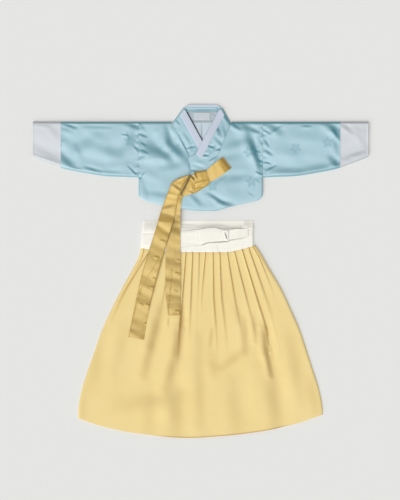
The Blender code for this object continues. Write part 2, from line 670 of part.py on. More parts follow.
def collar_band(side):
    """A front stretch of the collar, rolled over at the side of the neck above the shoulder."""
    right = side == "right"
    outer = "left" if right else "right"
    end_y = RIGHT_COLLAR_END_Y if right else LEFT_COLLAR_END_Y
    height_at = right_collar_height if right else left_collar_height
    levels = [end_y + GAP, 226.0, 238.8, 245.4, 252.0, 265.0, 279.2, 292.0, 304.0]
    levels += [NECK_Y, 325.0, 333.1, 342.0, 349.0]
    rows = []
    for y in levels:
        a = collar_side(y, outer)
        b = collar_inner(y, outer)
        height = height_at(y)
        row = []
        over_edge = smoothstep(NECK_Y - 1.0, NECK_Y + 6.0, y)
        width = abs(b - a)
        roll = min(3.5, 0.6 * width)
        for edge in ROLLED_EDGE:
            share = edge.inset + 0.06 * (edge.rise > 0.0) * (1.0 - over_edge) * (1.0 - edge.inset)
            x = a + math.copysign(share * roll, b - a)
            row.append((x, y, height * (1.0 - over_edge * (1.0 - edge.rise))))
        for share in (0.25, 0.5, 0.75, 1.0):
            x = a + math.copysign(roll + (width - roll) * share, b - a)
            row.append((x, y, height))
        rows.append(row)
    return cloth(f"collar_{side}", rows, SATIN_BLUE, flip=not right)


def collar_strip(side):
    """The white strip along a collar band's inner edge."""
    right = side == "right"
    inner = "left" if right else "right"
    height_at = right_collar_height if right else left_collar_height
    across = -1.0 if right else 1.0
    if right:
        levels = [(y, 1.0) for y in (236.0, 252.0, 265.0, 279.2, 292.0, 306.0, 320.0, 332.0, 342.0)]
    else:
        levels = [(244.0, 0.06), (247.0, 0.45), (250.0, 0.8), (252.5, 1.0)]
        levels += [(y, 1.0) for y in (265.0, 279.2, 292.0, 306.0, 320.0, 332.0, 342.0)]
    rows = []
    for y, share in levels:
        a = -9.7 + 1.3 * (252.0 - y) if (not right and y < 252.0) else collar_inner(y, inner)
        line = collar_inner(max(y, 252.0), inner)
        if not right:
            line = 3.9 - 0.497 * (279.2 - y) if y < 279.2 else line
        b = line + across * 17.4
        limit = collar_side(y, inner) - across * 4.5
        b = max(b, limit) if right else min(b, limit)
        row = [(a + (b - a) * t, y, height_at(y) + GAP + STRIP) for t in (0.0, 0.33, 0.67, 1.0)]
        rows.append(row)
    return cloth(f"collar_strip_{side}", rows, SATIN_WHITE, STRIP, flip=right)


def flat_panel(name, levels, finish, thickness, height):
    """A panel that lies level, from its left and right edges at each level."""
    rows = [[(x, level.y, height) for x in spread(level.left, level.right, 6)] for level in levels]
    return cloth(name, rows, finish, thickness)


def back_neck():
    """The collar's back stretch with what shows in the neck opening."""
    inset = CLOTH + 2.0 * GAP
    levels = []
    for y in (NECKLINE_BACK_Y + GAP / 2.0, 327.0, 333.1, 342.0, 351.2, 354.6, COLLAR_TOP_Y):
        levels.append(Side(y, collar_side(y, "left") + inset, collar_side(y, "right") - inset))
    flat_panel("collar_back", levels, SATIN_BLUE, CLOTH, CLOTH)
    top = CLOTH + GAP + STRIP
    flat_panel("collar_strip_back", STRIP_BACK, SATIN_WHITE, STRIP, top)
    flat_panel("neck_facing", NECK_FACING, LINING, STRIP, top)
    flat_panel("neck_label", NECK_LABEL, COTTON_WHITE, STRIP, top + GAP + STRIP)
    flat_panel("back_lining", BACK_LINING, LINING, STRIP, top)


# Ribbon ties

def looped(stations, lift, count, rest, inner_gap):
    """Rows of a ribbon that runs out, folds over and comes back underneath itself."""
    radius = RIBBON + inner_gap / 2.0
    upper = strip_rows(stations, lift + 2.0 * radius, count, rest)
    flat = [Station(s.x, s.y, s.width, 0.0) for s in stations]
    lower = strip_rows(flat, lift, count, rest)
    tip = stations[-1]
    before = stations[-2]
    length = math.hypot(tip.x - before.x, tip.y - before.y)
    ahead = ((tip.x - before.x) / length, (tip.y - before.y) / length)
    turn_rows = []
    for step in (1, 2, 3):
        turn = math.pi * step / 4.0
        row = []
        for top_point, low_point in zip(upper[-1], lower[-1]):
            middle = (top_point[2] + low_point[2]) / 2.0
            half = (top_point[2] - low_point[2]) / 2.0
            reach = radius * math.sin(turn)
            row.append((
                top_point[0] + ahead[0] * reach,
                top_point[1] + ahead[1] * reach,
                middle + half * math.cos(turn),
            ))
        turn_rows.append(row)
    return upper + turn_rows + lower[::-1]


def front_rest(x, y):
    """The overlapping front, which the bow rests on."""
    return max(OVER_HEIGHT, left_front_height(x, y)) if x > -50.0 else OVER_HEIGHT


def jacket_ties():
    """The two gold ribbons: a flat bow with one loop, its knot, a tucked fold and two tails."""
    lift = GAP + RIBBON + 0.1
    cloth("tie_tail_short", strip_rows(SHORT_TAIL, lift, 4, ribbon_rest, 5), RIBBON_GOLD, RIBBON)
    cloth("tie_tail_long", strip_rows(LONG_TAIL, lift, 4, ribbon_rest, 4), RIBBON_GOLD, RIBBON)
    rows = looped(BOW_LOOP, GAP, 4, front_rest, 1.0)
    cloth("tie_loop", rows, RIBBON_GOLD, RIBBON)
    cloth("tie_tuck", strip_rows(BOW_TUCK, lift, 4, front_rest, 3), RIBBON_GOLD, RIBBON)
    cloth("tie_knot", strap_rows(BOW_KNOT, OVER_HEIGHT + 2.0 * GAP), RIBBON_GOLD, RIBBON)


def between(start, end, share):
    """The point at a share of the way from start to end, as x and y."""
    return tuple(a + (b - a) * share for a, b in zip(start, end))


def strap_rows(strap, foot):
    """Rows of a strap that arches over ribbons, its two ends upright on what is under them."""
    ends = [(STRAP_TURN * edge.inset, edge.rise) for edge in ROLLED_EDGE]
    middle = [(0.38, 1.0), (0.62, 1.0)]
    rows = []
    for share, rise in ends + middle + [(1.0 - s, r) for s, r in reversed(ends)]:
        z = foot + (strap.height - foot) * rise
        row = []
        for across in spread(0.0, 1.0, 4):
            low = between(strap.bottom_left, strap.bottom_right, across)
            top = between(strap.top_left, strap.top_right, across)
            row.append((*between(low, top, share), z))
        rows.append(row)
    return rows


# Skirt

def skirt_front():
    """The pleated front of the skirt, its sides rolled down to the table."""
    return cloth("skirt_front", [skirt_row(level) for level in skirt_levels()], SKIRT_YELLOW)


def skirt_levels():
    """Shares of the skirt's length from the hem up, closer at the waist."""
    return (0.0, 0.06, 0.13, 0.21, 0.29, 0.37, 0.45, 0.53, 0.61, 0.69, 0.76, 0.83, 0.89, 0.94, 0.975, 1.0)


def skirt_ends(level):
    """The skirt's two side edges at a share of its length from the hem up."""
    ends = []
    for side, end in (("left", 0), ("right", -1)):
        hem_y = SKIRT_HEM[end].y
        ends.append(skirt_side(hem_y + (WAIST_SEAM[end].y - hem_y) * level, side))
    return ends


def skirt_y(share, level, seam_gap):
    """Height on the skirt, at a share of its width from the left and of its length from the hem."""
    hem_left, hem_right = skirt_ends(0.0)
    seam_left, seam_right = skirt_ends(1.0)
    hem = curve_table(SKIRT_HEM, "x", "y", hem_left + (hem_right - hem_left) * share)
    seam = curve_table(WAIST_SEAM, "x", "y", seam_left + (seam_right - seam_left) * share) - seam_gap
    return hem + (seam - hem) * level


def skirt_row(level):
    """One row of the pleated front: each pleat slopes softly up to its fold and steps down."""
    left, right = skirt_ends(level)
    middle_y = skirt_y(0.5, level, 0.0)
    step = 1.6 + 12.0 * (1.0 - level)
    columns = [(left + edge.inset * SKIRT_ROLL, edge.rise, 0.0) for edge in ROLLED_EDGE]
    xs = [pleat_x(pleat, middle_y) for pleat in PLEATS]
    xs = [min(max(x, left + SKIRT_ROLL + 1.0), right - SKIRT_ROLL - 3.0) for x in xs]
    xs.append(right - SKIRT_ROLL)
    for pleat, x, following in zip(PLEATS, xs, xs[1:]):
        depth = pleat_depth(pleat, middle_y)
        width = min(step, 0.35 * (following - x))
        columns.append((x, 1.0, depth))
        columns.append((x + width, 1.0, 0.0))
        columns.append((x + 0.5 * (width + following - x), 1.0, 0.3 * depth))
    columns.extend((right - edge.inset * SKIRT_ROLL, edge.rise, 0.0) for edge in reversed(ROLLED_EDGE))
    row = []
    for x, rise, extra in columns:
        y = skirt_y((x - left) / (right - left), level, 2.0 * GAP)
        row.append((x, y, (PLEAT_BASE + skirt_wave(x, y)) * rise + extra))
    return row


def skirt_back():
    """The back of the skirt, flat on the table inside the front's rolled sides."""
    inset = CLOTH + 2.0 * GAP
    rows = []
    for level in skirt_levels():
        left, right = skirt_ends(level)
        row = []
        for x in spread(left + inset, right - inset, 8):
            row.append((x, skirt_y((x - left) / (right - left), level, 4.0 * GAP), CLOTH))
        rows.append(row)
    return cloth("skirt_back", rows, SKIRT_YELLOW)


def waistband():
    """The white waistband: a front with rolled ends on a flat back."""
    rows = []
    for level in spread(0.0, 1.0, 4):
        row = []
        for x, rise in rolled_columns(BAND_LEFT_X + BAND_LEAN * level, BAND_RIGHT_X, 20, BAND_ROLL):
            low = curve_table(WAIST_SEAM, "x", "y", x)
            high = curve_table(BAND_TOP, "x", "y", x)
            row.append((x, low + (high - low) * level, band_height(x) * rise))
        rows.append(row)
    cloth("waistband_front", rows, COTTON_WHITE)
    inset = CLOTH + 2.0 * GAP
    rows = []
    for level in (0.0, 0.5, 1.0):
        row = []
        for x in spread(BAND_LEFT_X + BAND_LEAN * level + inset, BAND_RIGHT_X - inset, 8):
            low = curve_table(WAIST_SEAM, "x", "y", x)
            row.append((x, low + (BAND_BACK_TOP_Y - low) * level, CLOTH))
        rows.append(row)
    cloth("waistband_back", rows, COTTON_WHITE)


def tie_rest(x, y):
    """The waist tie's level outer face, which its bow rests on everywhere."""
    return TIE_HEIGHT


def waist_tie():
    """The white tie round the waistband, with a one-loop bow."""
    rows = []
    for level in spread(0.0, 1.0, 2):
        row = []
        for x in spread(-124.0, 110.5, 14):
            low = curve_table(WAIST_TIE, "x", "bottom", x)
            high = curve_table(WAIST_TIE, "x", "top", x)
            row.append((x, low + (high - low) * level, band_height(x) + GAP + RIBBON))
        rows.append(row)
    cloth("waist_tie", rows, COTTON_WHITE, RIBBON)
    cloth("waist_loop", looped(WAIST_LOOP, GAP, 4, tie_rest, 0.6), COTTON_WHITE, RIBBON)
    cloth("waist_tail", strip_rows(WAIST_TAIL, GAP + RIBBON, 4, tie_rest), COTTON_WHITE, RIBBON)
    cloth("waist_knot", strap_rows(WAIST_KNOT, TIE_HEIGHT + GAP), COTTON_WHITE, RIBBON)


# Scene

def clear_scene():
    """Start from nothing."""
    for item in list(bpy.data.objects):
        bpy.data.objects.remove(item, do_unlink=True)


clear_scene()
PARTS = bpy.data.collections.new("hanbok")
bpy.context.scene.collection.children.link(PARTS)

for wearer_side in ("right", "left"):
    body_half(wearer_side)
    sleeve(wearer_side)
    cuff(wearer_side)
    collar_band(wearer_side)
    collar_strip(wearer_side)
back_neck()
jacket_ties()
skirt_front()
skirt_back()
waistband()
waist_tie()
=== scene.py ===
"""Looks of a toddler's hanbok laid flat: fine cloth shells, satin and cotton finishes, soft light.

Every table and length is in millimetres in the frame's own axes: +X to the wearer's left, +Y to
the collar, +Z up off the table. Meshes are made in metres. Cloth is worked out as rows of points
of its outer face, with its creases placed one by one, and gets its thickness inwards.
"""
import logging
import math
from dataclasses import dataclass, field, replace
from enum import Enum
from typing import Callable, Sequence

import bpy
import numpy as np
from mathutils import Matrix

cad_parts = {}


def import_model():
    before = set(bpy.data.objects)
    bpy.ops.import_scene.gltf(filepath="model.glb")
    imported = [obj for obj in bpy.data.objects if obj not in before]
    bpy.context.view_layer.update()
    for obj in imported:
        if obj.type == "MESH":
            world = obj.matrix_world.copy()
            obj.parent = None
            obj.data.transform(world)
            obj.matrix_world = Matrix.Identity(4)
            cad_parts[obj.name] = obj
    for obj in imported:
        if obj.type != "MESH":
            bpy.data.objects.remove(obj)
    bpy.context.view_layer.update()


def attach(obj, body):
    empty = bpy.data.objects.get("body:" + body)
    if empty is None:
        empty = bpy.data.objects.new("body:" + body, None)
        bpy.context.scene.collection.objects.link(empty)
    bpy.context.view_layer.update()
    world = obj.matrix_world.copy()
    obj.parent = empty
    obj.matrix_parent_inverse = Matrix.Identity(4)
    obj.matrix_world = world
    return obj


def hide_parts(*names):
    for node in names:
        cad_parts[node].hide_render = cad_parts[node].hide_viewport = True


MM = 0.001
LOG = logging.getLogger("hanbok")

# Cloth thicknesses of the shells
CLOTH = 0.9
RIBBON = 0.7
BAND_CLOTH = 0.5

# Angle in degrees past which an edge of a shell is drawn crisp
CRISP_ANGLE = 60.0

# Ribbons and ties: lift of a single layer, how far the waist tie stands over the band, and distance
# between the rows of a ribbon
RIBBON_LIFT = 1.4
TIE_RISE = 1.3
PATH_STEP = 1.6

# Jacket sizes
SHOULDER_Y = 321.0
SHOULDER_ROLL = 5.2
UNDERARM_Y = 201.5
CENTRE_BACK_X = 2.8
CUFF_SEAM = 300.0
SLEEVE_END = 360.0
FOLD_RADIUS = 1.9
NECK_Y = 317.4
NECKLINE_BACK_Y = 320.0
COLLAR_TOP_Y = 358.0

# Heights of outer faces above the table, as the solids have them
FRONT_HEIGHT = 5.4
UNDER_HEIGHT = 4.0
OVER_HEIGHT = 6.8
BAND_HEIGHT = 5.0
PLEAT_BASE = 4.3
BACK_TOP = 1.2
INSIDE_TOP = 2.5

# Skirt sizes, with its width at the hem as it lies
HEM_WIDTH = 526.0
SEAM_Y = 41.0
PLEAT_FAN_Y = -60.0

# Photograph frame: millimetres for each pixel, its height, its middle in this frame's axes, and
# how far above the table the camera is
PIXEL_MM = 2.15
PHOTO_HEIGHT_PX = 500
VIEW_CENTRE = (-1.1, 45.7)
CAMERA_HEIGHT_M = 4.2

# Turn that a blossom's chance is spread over
FULL_TURN = 6.28

# Level direction away from the key light, which shines from the lower left
AWAY_FROM_LIGHT = (0.55, 0.83)

Array = np.ndarray
Socket = bpy.types.NodeSocket
Tree = bpy.types.NodeTree


class Side(Enum):
    """The wearer's side that a piece is on."""

    RIGHT = "right"
    LEFT = "left"

    @property
    def is_right(self) -> bool:
        """Whether this is the wearer's right side, whose front lies under the other."""
        return self is Side.RIGHT

    @property
    def armhole(self) -> float:
        """X of the side's armhole seam."""
        return -133.0 if self.is_right else 134.0

    @property
    def out(self) -> float:
        """Direction from the middle to this side along X."""
        return -1.0 if self.is_right else 1.0

    @property
    def collar_end(self) -> float:
        """Y where this side's collar band ends on the front."""
        return 215.0 if self.is_right else 213.3

    @property
    def shoulder_width(self) -> float:
        """Width of the painted shade along the top of the sleeve and shoulder."""
        return 5.0 if self.is_right else 8.6

    def shoulder_shade(self, y: Array) -> Array:
        """Shade painted where the cloth turns over along the shoulder line."""
        return 0.8 * smoothstep(self.shoulder_width, 0.8, SHOULDER_Y - y)


def smoothstep(low: float, high: float, value: Array | float) -> Array:
    """Go from 0 at low to 1 at high, level at both ends.

    Args:
        low: Where the step starts.
        high: Where it ends, on either side of low.
        value: Places to read it at.

    Returns:
        The step's share at each place.
    """
    t = np.clip((np.asarray(value, dtype=float) - low) / (high - low), 0.0, 1.0)
    return t * t * (3.0 - 2.0 * t)


@dataclass(frozen=True)
class Curve:
    """A smooth curve through a short table of points, which never overshoots them."""

    points: tuple[tuple[float, float], ...]

    def at(self, where: Array | float) -> Array:
        """Read the curve.

        Args:
            where: Places along the table's first column.

        Returns:
            The second column's value at each place.
        """
        xs, ys = (np.array(column) for column in zip(*sorted(self.points)))
        where = np.clip(np.asarray(where, dtype=float), xs[0], xs[-1])
        slopes = np.diff(ys) / np.diff(xs)
        product = slopes[:-1] * slopes[1:]
        total = np.where(np.abs(slopes[:-1] + slopes[1:]) < 1e-12, 1.0, slopes[:-1] + slopes[1:])
        inner = np.where(product > 0.0, 2.0 * product / total, 0.0)
        tangents = np.concatenate(([slopes[0]], inner, [slopes[-1]]))
        i = np.clip(np.searchsorted(xs, where, side="right") - 1, 0, len(xs) - 2)
        span = xs[i + 1] - xs[i]
        t = (where - xs[i]) / span
        start = (1 + 2 * t) * (1 - t) ** 2 * ys[i] + t * (1 - t) ** 2 * span * tangents[i]
        end = t * t * (3 - 2 * t) * ys[i + 1] + t * t * (t - 1) * span * tangents[i + 1]
        return start + end

    def straight(self, where: Array | float) -> Array:
        """Read the table along straight runs between its points."""
        xs, ys = (np.array(column) for column in zip(*sorted(self.points)))
        return np.interp(where, xs, ys)


@dataclass(frozen=True)
class Crease:
    """What lies along a line on the cloth, with its width and its depth or strength."""

    x0: float
    y0: float
    x1: float
    y1: float
    width: float
    size: float

    def beside(self, x: Array, y: Array) -> tuple[Array, Array, Array]:
        """Find the place on the line that is nearest to each point.

        Args:
            x: The points' x.
            y: The points' y.

        Returns:
            That place as a share of the line, and the way from it to the point in X and in Y.
        """
        run_x, run_y = self.x1 - self.x0, self.y1 - self.y0
        along = (x - self.x0) * run_x + (y - self.y0) * run_y
        t = np.clip(along / (run_x ** 2 + run_y ** 2), 0.0, 1.0)
        return t, x - self.x0 - t * run_x, y - self.y0 - t * run_y

    def height(self, x: Array, y: Array) -> Array:
        """Height that it adds at each point: none, unless a kind of crease says otherwise."""
        return np.zeros(np.shape(x))


@dataclass(frozen=True)
class Fold(Crease):
    """A soft trough (size below nought) or ridge along a line, fading out across its width."""

    def height(self, x: Array, y: Array) -> Array:
        """Height that the fold adds at each point.

        Args:
            x: The points' x.
            y: The points' y.

        Returns:
            The height at each point.
        """
        t, off_x, off_y = self.beside(x, y)
        away = np.hypot(off_x, off_y) / self.width
        taper = 0.55 + 0.45 * np.sin(np.pi * np.clip(t, 0.08, 0.92))
        return self.size * taper * np.exp(-2.0 * away * away)

    def shade(self, x: Array, y: Array) -> Array:
        """How much shade is painted into the trough at each point; a ridge gets none."""
        return np.maximum(0.0, -0.8 * self.height(x, y) / self.width)


@dataclass(frozen=True)
class Drop(Crease):
    """A soft fold that lies over: the cloth stands up before a line and dips behind it.

    The slope on the line faces away from the light, so the line looks dark between two bright
    flanks; that shade is also painted along the line.
    """

    def place(self, x: Array, y: Array) -> tuple[Array, Array, Array]:
        """Where points are beside the line, in widths of the fold.

        Args:
            x: The points' x.
            y: The points' y.

        Returns:
            The distance behind the line, the distance from it, and how far the fold has tapered.
        """
        run_x, run_y = self.x1 - self.x0, self.y1 - self.y0
        length = math.hypot(run_x, run_y)
        across_x, across_y = run_y / length, -run_x / length
        if across_x * AWAY_FROM_LIGHT[0] + across_y * AWAY_FROM_LIGHT[1] < 0.0:
            across_x, across_y = -across_x, -across_y
        t, off_x, off_y = self.beside(x, y)
        behind = (off_x * across_x + off_y * across_y) / self.width
        taper = 0.45 + 0.55 * np.sin(np.pi * np.clip(t, 0.1, 0.9))
        return behind, np.hypot(off_x, off_y) / self.width, taper

    def height(self, x: Array, y: Array) -> Array:
        """Height that the fold adds at each point."""
        behind, away, taper = self.place(x, y)
        return -self.size * taper * behind * np.exp(-away * away)

    def shade(self, x: Array, y: Array) -> Array:
        """How much shade is painted on the slope along the line at each point.

        Args:
            x: The points' x.
            y: The points' y.

        Returns:
            How dark each point is.
        """
        _, away, taper = self.place(x, y)
        steep = min(1.0, max(0.0, 2.2 * self.size / self.width))
        return steep * taper * np.exp(-2.2 * away * away)


@dataclass(frozen=True)
class Shadow(Crease):
    """A narrow painted shadow line where one layer's edge lies over the cloth; it has no height."""

    def shade(self, x: Array, y: Array) -> Array:
        """How dark the painted shadow line is at each point.

        Args:
            x: The points' x.
            y: The points' y.

        Returns:
            How dark each point is.
        """
        t, off_x, off_y = self.beside(x, y)
        away = np.hypot(off_x, off_y) / self.width
        return self.size * np.sin(np.pi * np.clip(t, 0.12, 0.88)) ** 0.5 * np.exp(-away * away)


def fold_height(folds: Sequence[Crease], x: Array, y: Array) -> Array:
    """Add up the folds at each point.

    Args:
        folds: The creases.
        x: The points' x.
        y: The points' y.

    Returns:
        The creases' height at each point.
    """
    total = np.zeros(np.broadcast(x, y).shape)
    for fold in folds:
        total = total + fold.height(x, y)
    return total


def fold_shade(folds: Sequence[Crease], x: Array, y: Array) -> Array:
    """How much shade is painted along the folds at each point, from 0 to 1.

    Args:
        folds: The creases.
        x: The points' x.
        y: The points' y.

    Returns:
        The painted shade at each point.
    """
    total = np.zeros(np.broadcast(x, y).shape)
    for fold in folds:
        total = total + fold.shade(x, y)
    return np.clip(total, 0.0, 1.0)


def pucker(along: Array, phase: float) -> Array:
    """Uneven gathers along a seam, between about -1 and 1."""
    wobble = 1.6 * np.sin(0.07 * along + phase)
    return 0.65 * np.sin(0.46 * along + wobble + phase) + 0.35 * np.sin(0.93 * along + 2.3 * phase)


def seam_dip(distance: Array, along: Array, gather: float, phase: float) -> Array:
    """How a sewn seam pulls cloth down beside it, with small gathers that run into it.

    Args:
        distance: Distance from the seam.
        along: Place along the seam.
        gather: Height of the gathers at the seam.
        phase: Start of the gathers, so that no two seams match.

    Returns:
        Height to add at each point, never above the gathers' own height.
    """
    dip = -0.12 * np.exp(-distance * distance)
    return dip + gather * gather_share(distance, along, phase) * pucker(along, phase)


def gather_share(distance: Array, along: Array, phase: float) -> Array:
    """How strong the gathers are at a distance from the seam, which is uneven along it.

    Args:
        distance: Distance from the seam.
        along: Place along the seam.
        phase: Start of the gathers.

    Returns:
        The share at each point.
    """
    reach = 4.4 + 2.2 * np.sin(0.23 * along + 3.0 * phase)
    strength = 0.75 + 0.45 * np.sin(0.105 * along + 5.0 * phase)
    return strength * np.exp(-distance / reach)


def seam_shade(distance: Array, along: Array, phase: float) -> Array:
    """Shade painted on the gathers' upper slopes beside a seam."""
    upper = np.clip(-pucker(along + 3.4, phase), 0.0, 1.0)
    return upper * gather_share(distance, along, phase)


# Outlines, as the solids have them, and the sleeve's height along its length
SLEEVE_BOTTOM = Curve((
    (0, 201.5), (14, 202.2), (32, 203), (58, 203.8), (83, 206.3), (109, 210.6),
    (138, 215.8), (155, 219.2), (167, 222.8), (180, 227.9), (196, 233.6), (212, 239.6),
    (227, 246),
))
SLEEVE_CROWN = Curve((
    (0, 5.3), (14, 5.6), (32, 6.1), (83, 6.3), (138, 6.1), (167, 5.6), (196, 5.7),
    (227, 5.1),
))
JACKET_HEM = Curve((
    (-133, 166), (-130, 158.5), (-122, 153.5), (-100, 147), (-68, 139.5),
    (-36, 133.8), (-10, 130.3), (27, 129.5), (44, 132.5), (68, 139.5), (106, 148.2),
    (122, 152), (130.5, 157.5), (134, 166),
))
SKIRT_HEM = Curve((
    (-263, -315.5), (-216, -331.6), (-139, -347.8), (-25, -358), (42, -354.2),
    (119, -345.6), (197, -329.5), (263, -308),
))
WAIST_SEAM = Curve((
    (-130, 50), (-100, 45.5), (-50, SEAM_Y), (50, SEAM_Y), (92, 48), (118, 56),
))
BAND_TOP = Curve((
    (-124, 107), (-100, 105.5), (-50, 100.5), (-10, 99), (40, 99.5), (58, 96.5),
    (68, 90), (84, 90), (93, 106), (115, 108.5),
))
TIE_BOTTOM = Curve((
    (-125.5, 54), (-100, 53.5), (-40, 53), (5, 57), (50, 64), (114.5, 74),
))
TIE_TOP = Curve((
    (-125.5, 81), (-100, 82), (-40, 86), (5, 90), (50, 91), (114.5, 88.5),
))
# The waist tie's lower edge with its bow, and how dark the painted shadow along it is at each x
WAIST_LINE = Curve((
    (-60, 52), (-40, 52.4), (5, 57.2), (16, 61.4), (59, 64.2), (61, 66.4),
    (102, 73.2),
))
WAIST_LINE_SHADE = Curve((
    (-60, 0), (-40, 0.25), (0, 0.35), (8, 1), (58, 0.95), (62, 0.8), (90, 0.55),
    (106, 0.1),
))
SKIRT_LEFT = Curve((
    (60, -127), (37, -131), (2.7, -147.3), (-40.3, -170.9), (-83.3, -192.4), (-126.3, -211.8),
    (-169.3, -226.8), (-212.3, -241.9), (-255.3, -255.3), (-298.3, -262.6), (-320, -263),
))
SKIRT_RIGHT = Curve((
    (60, 116), (37, 131), (2.7, 150.4), (-40.3, 175.2), (-83.3, 195), (-126.3, 213.9),
    (-169.3, 228), (-212.3, 241.9), (-255.3, 255.3), (-298.3, 262.6), (-320, 263),
))
# The collar band's edges at each y
COLLAR_OUTSIDE = {
    Side.RIGHT: Curve((
        (358, -28.5), (354.6, -33.6), (351.2, -37.2), (333.1, -50.4), (317.4, -61.3),
        (247.8, -25.5), (213, -7.7),
    )),
    Side.LEFT: Curve((
        (358, 38), (354.6, 44), (351.2, 47.3), (333.1, 57.4), (317.4, 65.6), (247.8, 37.2),
        (213, 23),
    )),
}
COLLAR_INSIDE = {
    Side.RIGHT: Curve((
        (352.5, -36.6), (279.2, 3.9), (252, 19), (245.4, 22.6), (238.8, 26.3), (213, 40.6),
    )),
    Side.LEFT: Curve((
        (352.5, 43.6), (279.2, 3.9), (252, -9.7), (245.4, -24.3), (238.8, -28.6), (213, -26),
    )),
}


@dataclass(frozen=True)
class Pleat:
    """One pleat of the skirt: where its fold starts, fans to, its depth and where it fades."""

    waist_x: float
    fan_x: float
    depth: float
    fade_y: float

    def x_at(self, y: float) -> float:
        """Where the fold runs at a height on the skirt.

        Args:
            y: The points' y.

        Returns:
            X of the fold.
        """
        if y > PLEAT_FAN_Y:
            t = (SEAM_Y + 8.0 - y) / (SEAM_Y + 8.0 - PLEAT_FAN_Y)
            return self.waist_x + (self.fan_x - self.waist_x) * max(0.0, t)
        sides = SKIRT_LEFT if self.fan_x < 0.0 else SKIRT_RIGHT
        return float(self.fan_x * sides.at(y) / sides.at(PLEAT_FAN_Y))

    def depth_at(self, y: float) -> float:
        """Height of the pleat's step, fading down the skirt."""
        return self.depth * float(smoothstep(self.fade_y, SEAM_Y + 10.0, y)) ** 0.8


# Pleats from the wearer's right to left
PLEATS = (
    Pleat(-119.5, -173, 1.6, -50), Pleat(-103.5, -166.5, 2.3, -150),
    Pleat(-91.4, -133, 1.3, -80), Pleat(-76.3, -107, 1.8, -130),
    Pleat(-61.3, -82, 1.4, -120), Pleat(-46.2, -61, 1.5, -110),
    Pleat(-31, -40.5, 2.4, -230), Pleat(-17.2, -22, 2.2, -170),
    Pleat(-2.6, -6, 1.2, -80), Pleat(11.2, 0, 1.8, -100),
    Pleat(26, 26.9, 2.2, -200), Pleat(40.4, 44, 1.9, -190),
    Pleat(55.7, 72, 1.8, -170), Pleat(70.1, 96.5, 1.9, -170),
    Pleat(86, 117.5, 2.5, -260), Pleat(100.2, 136, 1.8, -130),
    Pleat(113, 154, 1.5, -80),
)


def creases(kind: type[Crease], table: Sequence[Sequence[float]]) -> tuple[Crease, ...]:
    """Make creases of one kind from rows of start x, start y, end x, end y, width and size."""
    return tuple(kind(*row) for row in table)


# Creases of each piece; shade is painted along their troughs, overlying folds and shadow lines
RIGHT_FRONT_FOLDS = (
    *creases(Drop, (
        (-134, 269, -74, 250, 17.6, 3.7), (-117, 286, -94, 267, 17.6, 1.8),
        (-74, 306, -66, 274, 10.5, 1.9), (-68, 276, -29, 240, 12.9, 4.1),
        (-87, 256, -66, 241, 10.5, 1.3), (-81, 222, -35, 231, 12.9, 1.4),
        (-111, 168, -61, 160, 9.4, 0.8), (-139, 208, -130, 199, 2.3, 1),
        (-130, 199, -121, 212, 2.3, 0.9), (-132, 293, -117, 289, 3.6, 1.4),
        (-132, 278, -119, 271, 3.6, 1.3), (-132, 261, -115, 254, 4.5, 1.5),
        (-132, 243, -121, 246, 2.7, 0.7), (-137, 318, -124, 308, 5.4, 1.6),
        (-109, 142, -74, 138, 4.5, 0.7), (-124, 188, -115, 157, 8.2, 0.6),
    )),
    *creases(Fold, (
        (-92, 296, -76, 268, 13, 0.9), (-122, 212, -88, 196, 14, 0.7),
        (-126, 240, -74, 240, 9, 0.6), (-66, 312, -58, 296, 6, 0.7),
    )),
)
LEFT_FRONT_FOLDS = (
    *creases(Drop, (
        (61, 269, 94, 280, 14, 1.6), (101, 291, 117, 256, 12.9, 3.8),
        (113, 263, 133, 216, 10.5, 3.5), (55, 196, 98, 203, 12.9, 1.4),
        (17, 166, 48, 147, 5.6, 1.7), (40, 149, 70, 140, 7.4, 2), (-20, 164, -3, 145, 5.4, 1.2),
        (66, 317, 83, 306, 5.4, 2.1), (85, 314, 111, 302, 10.5, 2.5),
        (111, 304, 132, 295, 5.4, 1.4), (121, 213, 134, 207, 2.9, 1.7),
        (120, 198, 126, 190, 2.6, 0.5), (124, 286, 134, 269, 4.5, 1.2),
        (119, 259, 132, 254, 3.1, 0.9), (124, 239, 134, 233, 3.1, 1.1),
        (104, 168, 112, 162, 4, 0.4), (-29, 235, -23, 211, 3.6, 1.2),
        (46, 239, 76, 246, 11.7, 0.9),
    )),
    *creases(Fold, (
        (34, 193, 54, 208, 5, -0.9), (98, 300, 108, 250, 14, 0.7), (30, 182, 92, 156, 18, 0.4),
        (-8, 168, 4, 146, 8, -0.8), (52, 220, 110, 214, 14, 0.5),
    )),
)
